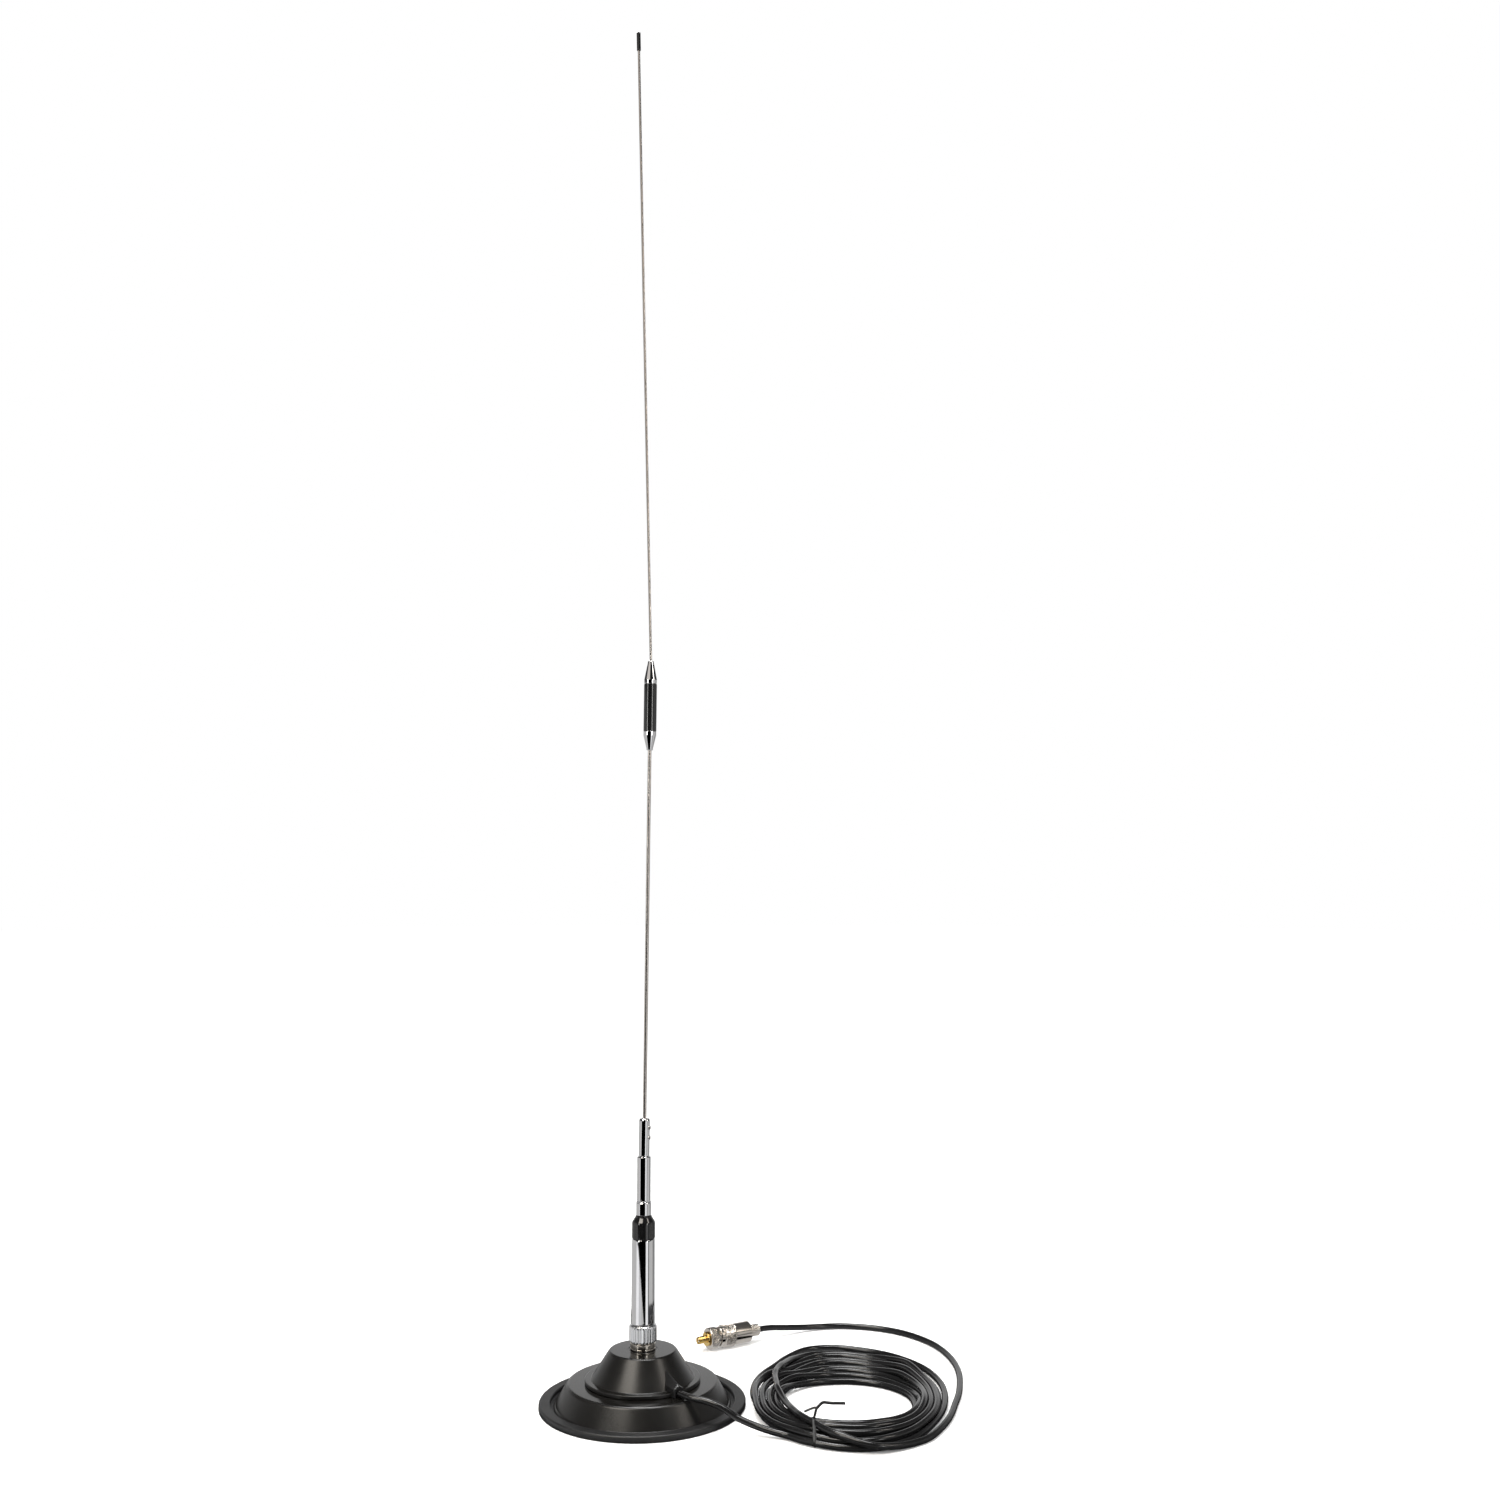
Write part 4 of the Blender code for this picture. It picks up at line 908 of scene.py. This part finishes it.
def make_whip():
    foot = SLEEVE_TOP
    lower = turned(
        "lower_rod",
        [(0, 189.0), (1.5, 189.0, 0.3), *rows((1.5, 190.0), (1.5, 523.0), 12), (1.5, 524, 0.3), (0, 524)],
        48, foot=foot,
    )
    fit(lower, "whip", "whip", "lower_whip", matrix=WHIP_AXIS)
    low, tube_low, tube_high, high = FERRULE_BOTTOM, PHASING_BOTTOM, PHASING_TOP, FERRULE_TOP
    lower_cone = turned("lower_cone_ferrule", [
        (1.8, low), (2.3, low, 0.15), (2.6, low + 0.4, 0.2), (2.65, low + 1.6, 0.6),
        (4.95, 517.2, 0.8), (5.2, 518.2, 0.5), (5.2, tube_low - 0.3, 0.15), (4.1, tube_low - 0.3),
        (4.1, 527), (1.8, 527),
    ], foot=foot)
    fit(lower_cone, "whip", "chrome", "phasing_lower_ferrule", matrix=WHIP_AXIS)
    sleeve = turned(
        "coil_cover",
        [(4.4, tube_low), (5.2, tube_low, 0.3), (5.2, tube_high, 0.3), (4.4, tube_high)],
        96, 0.1, foot=foot,
    )
    fit(sleeve, "whip", "plastic", "phasing_tube", matrix=WHIP_AXIS)
    upper_cone = turned("upper_cone_ferrule", [
        (1.3, 554), (4.1, 554), (4.1, tube_high + 0.3), (5.2, tube_high + 0.3, 0.15),
        (5.2, tube_high + 3.4, 0.5), (4.95, tube_high + 4.4, 0.8), (2.45, high - 1.4, 0.6),
        (2.4, high - 0.4, 0.2), (2.1, high, 0.15), (1.3, high),
    ], foot=foot)
    fit(upper_cone, "whip", "chrome", "phasing_upper_ferrule", matrix=WHIP_AXIS)
    bend = high + 1.0 - foot
    length = TIP_BOTTOM + 8 - high
    lean = UPPER_LEAN - LOWER_LEAN
    points = [Vector((0, 0, (556 - foot) * MM)), Vector((0, 0, (bend - 4) * MM))]
    for k in range(1, 8):
        part = lean * k / 8
        points.append(points[-1] + Vector((sin(part), 0, cos(part))) * MM)
    start, upward = Vector((0, 0, bend * MM)), Vector((sin(lean), 0, cos(lean)))
    points += [start + upward * (4 + (length - 4) * k / 14) * MM for k in range(15)]
    upper = wire("upper_rod", [WHIP_AXIS @ p for p in points], 0.001, 8)
    fit(upper, "whip", "whip", "upper_whip")
    cap = turned("tip_cap_cover", [
        (1.15, TIP_BOTTOM, 0.1), (1.6, TIP_BOTTOM, 0.2), (1.65, TIP_BOTTOM + 0.6, 0.2),
        (1.65, TIP_TOP - 1.4, 0.7), (0.9, TIP_TOP - 0.2, 0.5), (0, TIP_TOP), (0, TIP_BOTTOM + 9.5),
        (1.15, TIP_BOTTOM + 9.5),
    ], 48, 0.1, foot=FERRULE_TOP + 1.0)
    fit(cap, "whip", "plastic", "tip_cap", matrix=UPPER_AXIS)


# ------------------------------ the plug

PLUG_TEETH = 46
PLUG_HEIGHT = 0.0097
PLUG_GAP = 0.0003


def diamond(low, high, depth, teeth, radius):
    """A diamond knurl between two heights."""
    pitch = 2 * pi * radius / teeth

    def shape(r, z, angle):
        if r < radius - 0.3 or not low <= z <= high:
            return r
        left = (teeth * angle / (2 * pi) + z / pitch) % 1.0
        right = (teeth * angle / (2 * pi) - z / pitch) % 1.0
        tip = min(1 - abs(2 * left - 1), 1 - abs(2 * right - 1))
        return r - depth * fading(z, low, high, 0.35) * (1 - min(1.0, 1.35 * tip))

    return shape


def ribbed(low, high, depth, count, least):
    """Fine straight ribs along a turned piece between two heights."""

    def shape(r, z, angle):
        if r < least or not low <= z <= high:
            return r
        part = (count * angle / (2 * pi)) % 1.0
        return r - depth * fading(z, low, high, 0.4) * (1 - min(1.0, 1.6 * (1 - abs(2 * part - 1))))

    return shape


def make_plug():
    end, before = Vector(TAIL_ROUTE[-1]), Vector(TAIL_ROUTE[-2])
    direction = Vector(((end - before).x, (end - before).y, 0)).normalized()
    place = Vector((end.x, end.y, PLUG_HEIGHT)) + direction * PLUG_GAP
    axis = Matrix.Translation(place) @ Vector((0, 0, 1)).rotation_difference(direction).to_matrix().to_4x4()
    reducer = turned("cable_reducer", [
        (0, 0), (2.55, 0), (3.4, 0, 0.2), (4.6, 0.15, 0.3), (5.0, 0.7, 0.3),
        *rows((5.0, 1.2), (5.0, 9.2), 60), (4.6, 10.0, 0.3), (3.9, 10.0), (3.9, 19), (0, 19),
    ], 184, 0.1, shape=diamond(1.2, 9.2, 0.16, 30, 5.0))
    fit(reducer, "base", "nickel", "plug_reducer", matrix=axis)
    sleeve = turned("knurled_sleeve", [
        (6.95, 10.3), (8.1, 10.3, 0.3), (8.75, 10.9, 0.4), (8.75, 26.0, 0.3), (8.5, 26.5, 0.2),
        (8.6, 26.9, 0.1), *rows((9.4, 27.3), (9.4, 36.9), 58), (8.7, 37.3, 0.1), (8.1, 37.6, 0.2),
        (8.15, 38.1, 0.2), (8.15, 40.0, 0.4), (7.9, 40.6, 0.2), (7.55, 40.6), (7.55, 23.5),
        (6.95, 23.5),
    ], PLUG_TEETH * 8, 0.1, shape=diamond(27.3, 36.9, 0.34, PLUG_TEETH, 9.4))
    fit(sleeve, "plug_sleeve", "nickel", "plug_sleeve", matrix=axis)
    adapter = turned("adapter_shell", [
        (5.95, 26.6), (7.2, 26.6), (7.2, 39.4), (6.85, 39.8), (6.85, 43.2), (8.3, 43.2, 0.2),
        (8.75, 43.6, 0.2), *rows((8.85, 43.9), (8.85, 50.3), 8), (8.6, 50.7, 0.2), (7.6, 51.1, 0.3),
        (6.2, 51.1, 0.1), (6.0, 50.9, 0.1), (4.0, 50.9), (4.0, 41.0), (5.95, 41.0),
    ], 432, 0.1, shape=ribbed(43.9, 50.3, 0.18, 72, 8.7))
    fit(adapter, "adapter", "nickel", "adapter_body", matrix=axis)
    gold = turned("gold_end", [
        (2.35, 49.4), (3.7, 49.4), (3.7, 51.4), (5.4, 51.4, 0.2), (5.8, 51.8, 0.2),
        (5.8, 52.9, 0.3), (5.3, 53.4, 0.2), (3.4, 53.4, 0.1), (2.9, 53.7, 0.1), (2.9, 54.2, 0.1),
        *rows((3.15, 54.5), (3.15, 60.5), 68), (2.75, 61.0, 0.1), (2.35, 61.0),
    ], 72, 0.1, shape=thread(0.706, 0.3, 54.5, 60.5, 3.1))
    fit(gold, "adapter", "gold", "adapter_sma", matrix=axis)


# ------------------------------ CAD nodes that are kept

KEPT = {
    "magnet": "magnet_ring",
    "steel": "pole_plate housing_screw_1 housing_screw_2 housing_screw_3 socket_nut cable_clamp"
    " detent_plunger detent_spring",
    "nickel": "mast_plug_body plug_body",
    "gold": "socket_contact ground_lug mast_plug_pin plug_pin adapter_contact adapter_sma_contact",
    "copper": "matching_coil phasing_coil",
    "white": "socket_insulator mast_plug_insulator matching_former phasing_former plug_insulator"
    " adapter_insulator adapter_sma_insulator",
    "cable": "inner_lead",
}


def finish_kept():
    for finish, names in KEPT.items():
        for name in names.split():
            NODES[name].data.materials.clear()
            NODES[name].data.materials.append(FINISHES[finish])


# ------------------------------ camera, floor and light


def make_camera():
    data = bpy.data.cameras.new("camera")
    data.lens = CAMERA_LENS
    data.sensor_width = 36.0
    data.clip_start = 0.01
    data.clip_end = 50.0
    camera = add_object("camera", data)
    camera.location = CAMERA_PLACE
    camera.rotation_euler = (radians(CAMERA_PITCH), 0, 0)
    bpy.context.scene.camera = camera


def softbox(name, azimuth, elevation, distance, size, power, colour=(1, 1, 1)):
    """An area light that faces the object. Azimuth 0 is the camera's side, and 90 is +X."""
    a, e = radians(azimuth), radians(elevation)
    direction = Vector((sin(a) * cos(e), -cos(a) * cos(e), sin(e)))
    light = bpy.data.lights.new(name, "AREA")
    light.shape = "RECTANGLE"
    light.size, light.size_y = size
    light.energy = power
    light.color = colour
    lamp = add_object(name, light)
    lamp.location = Vector(LIGHTS_AIM) + direction * distance
    lamp.rotation_euler = direction.to_track_quat("Z", "Y").to_euler()
    lamp.visible_camera = False


def card(name, corners, finish):
    """A card of the studio that only reflections see."""
    bm = bmesh.new()
    for four in corners:
        bm.faces.new([bm.verts.new(c) for c in four])
    made = add_mesh(name, bm)
    made.data.materials.append(finish)
    for ray in ("camera", "diffuse", "shadow", "transmission", "volume_scatter"):
        setattr(made, "visible_" + ray, False)
    return made


def polar(azimuth, distance, height):
    """A point round the mast. Azimuth 0, in radians, is the camera's side."""
    return (distance * sin(azimuth), -distance * cos(azimuth), height)


def tapering(azimuth):
    """The near edge of the dark card, which closes in towards the right."""
    return 0.53 - 0.31 * min(max((azimuth + 50) / 62, 0), 1)


def sector(name, start, end, near, far, top, finish, height):
    """A card on the floor between two azimuths and two distances from the mast, with a wall at the back."""
    steps = max(2, int((end - start) / 6))
    edges = [radians(start + (end - start) * k / steps) for k in range(steps + 1)]
    faces = []
    for a, b in zip(edges, edges[1:]):
        close = [near(degrees(azimuth)) if callable(near) else near for azimuth in (a, b)]
        inner = [polar(azimuth, distance, height) for azimuth, distance in zip((a, b), close)]
        outer = [polar(azimuth, far, height) for azimuth in (b, a)]
        faces.append([*inner, *outer])
        if top:
            faces.append([outer[1], outer[0], polar(b, far, top), polar(a, far, top)])
    card(name, faces, finish)


def glowing(name, level):
    glow = {"Emission_Color": (*level, 1.0), "Emission_Strength": 1.0}
    return plain(name, (0.0, 0.0, 0.0), 1.0, Specular_IOR_Level=0.0, **glow)


def dome(name, radius, sink, finish):
    """The dim hall round the object."""
    across = [radians(360 * k / 18) for k in range(19)]
    up = [radians(90 * k / 10) for k in range(11)]
    faces = []
    for a, b in zip(across, across[1:]):
        for c, d in zip(up, up[1:]):
            corners = ((a, c), (b, c), (b, d), (a, d))
            faces.append([polar(azimuth, radius * cos(e), radius * sin(e) - sink) for azimuth, e in corners])
    card(name, faces, finish)


# The cards round the object, which only its reflections see. A row has the azimuths, the near and far edge's
# distance from the mast, the top of the wall at the far edge, the brightness and the height over the floor.
HALL = 3.2
BASE_EDGE = 0.083
BRIGHTNESS = {
    "black": (0.0, 0.0, 0.0),
    "dim": (0.05, 0.05, 0.052),
    "grey": (0.52, 0.515, 0.51),
    "soft": (0.60, 0.60, 0.61),
    "white": (0.95, 0.95, 0.96),
    "warm": (0.66, 0.62, 0.58),
    "strip": (9.0, 9.0, 8.7),
}
FRONT_CARDS = [
    ("dim_card_360", 0, 360, 0.001, HALL, 0, "dim", 0.0002),
    ("dark_card", -58, 26, tapering, 2.4, 2.2, "black", 0.001),
    ("white_card_294", -66, -38, BASE_EDGE, 0.54, 0, "white", 0.0006),
    ("soft_card_322", -38, -12, BASE_EDGE, 0.54, 0, "soft", 0.0006),
    ("grey_card_348", -12, 30, BASE_EDGE, 0.54, 0, "grey", 0.0006),
    ("soft_card_488", 128, 200, 0.09, 0.27, 0, "soft", 0.0006),
]
SIDE_CARDS = [
    ("white_card_right", 26, 50, BASE_EDGE, 2.6, 0.9, "white", 0.0004),
    ("white_card_left", -66, -58, BASE_EDGE, 2.6, 0.9, "white", 0.0004),
    ("grey_card_right", 58, 106, 0.29, 2.5, 0.9, "grey", 0.001),
    ("grey_card_left", -130, -66, BASE_EDGE, 2.5, 0.9, "grey", 0.001),
]
# The white background as the object sees it behind itself: its edges and top, then azimuths and brightness.
BACK_CARD = (0.26, 2.5, 1.05)
BACK_STEPS = [
    (106, 118, 0.15),
    (118, 130, 0.30),
    (130, 142, 0.50),
    (142, 154, 0.70),
    (154, 206, 0.85),
    (206, 218, 0.70),
    (218, 230, 0.50),
]
# The dark card beside the plug and the flag that keeps the key light off the upper whip, as (x, y).
PLUG_CARD = [(0.097, 0.150), (0.033, 0.110), (0.033, 0.088), (0.097, 0.128)]
FLAG_LEFT, FLAG_RIGHT = (-0.088, -0.024), (-0.010, -0.092)
FLAG_BOTTOM, FLAG_TOP = 0.6, 1.25
STRIPS = [("left", -48, -42), ("right", 39, 44)]
STRIP_DISTANCE, STRIP_BOTTOM, STRIP_TOP = 2.3, 0.55, 1.2

# The lights' aim, and each light's azimuth, elevation, distance, size, power and colour.
LIGHTS_AIM = (0.08, 0, 0.1)
LIGHTS = [
    ("key", -42, 50, 1.7, (0.9, 0.8), 15, (1.0, 0.94, 0.85)),
    ("side", 66, 42, 1.6, (0.2, 0.8), 3.5, (1.0, 0.93, 0.85)),
    ("top_left", -150, 76, 1.6, (0.5, 0.5), 13),
    ("top_right", 60, 82, 1.6, (0.4, 0.5), 8),
]


def make_studio():
    scene = bpy.context.scene
    scene.view_settings.view_transform = "Standard"
    world = bpy.data.worlds.new("studio")
    world.use_nodes = True
    background = world.node_tree.nodes["Background"]
    background.inputs["Color"].default_value = (1.0, 1.0, 1.0, 1.0)
    background.inputs["Strength"].default_value = 1.0
    scene.world = world
    dark, light = (0.90, 0.90, 0.90), (0.92, 0.92, 0.92)
    glow = {"Emission_Color": (1.0, 1.0, 1.0, 1.0), "Emission_Strength": 0.12}
    paper = worn("floor_paper", dark, light, (0.8, 0.9), None, patches=3.0, Specular_IOR_Level=0.0, **glow)
    bm = bmesh.new()
    bmesh.ops.create_circle(bm, cap_ends=True, segments=64, radius=12.0)
    ground = add_mesh("floor", bm)
    ground.data.materials.append(paper)
    make_cards()
    for name, *settings in LIGHTS:
        softbox(name, *settings)


def make_cards():
    finishes = {name: glowing(name + "_card", level) for name, level in BRIGHTNESS.items()}
    dome("hall", HALL, 0.02, finishes["dim"])
    for *row, finish, height in FRONT_CARDS:
        sector(*row, finishes[finish], height)
    card("dark_card_plug", [[(x, y, 0.0009) for x, y in PLUG_CARD]], finishes["black"])
    for *row, finish, height in SIDE_CARDS:
        sector(*row, finishes[finish], height)
    for number, (start, end, level) in enumerate(BACK_STEPS, 1):
        name = f"back_card_{number}"
        sector(name, start, end, *BACK_CARD, glowing(name, (level, level, level)), 0.001)
    for side, start, end in STRIPS:
        corners = [(start, STRIP_BOTTOM), (end, STRIP_BOTTOM), (end, STRIP_TOP), (start, STRIP_TOP)]
        face = [polar(radians(azimuth), STRIP_DISTANCE, height) for azimuth, height in corners]
        card("strip_" + side, [face], finishes["strip"])
    low = [(*FLAG_LEFT, FLAG_BOTTOM), (*FLAG_RIGHT, FLAG_BOTTOM)]
    high = [(*FLAG_RIGHT, FLAG_TOP), (*FLAG_LEFT, FLAG_TOP)]
    flag = card("flag", [[*low, *high]], finishes["warm"])
    flag.visible_shadow = True


# ------------------------------ run


def main():
    make_camera()
    make_studio()
    cable, line = make_cord()
    tie = make_tie(line)
    make_base()
    make_gland()
    make_socket()
    make_mast()
    make_fold_arm()
    make_holder()
    make_whip()
    make_plug()
    finish_kept()


main()
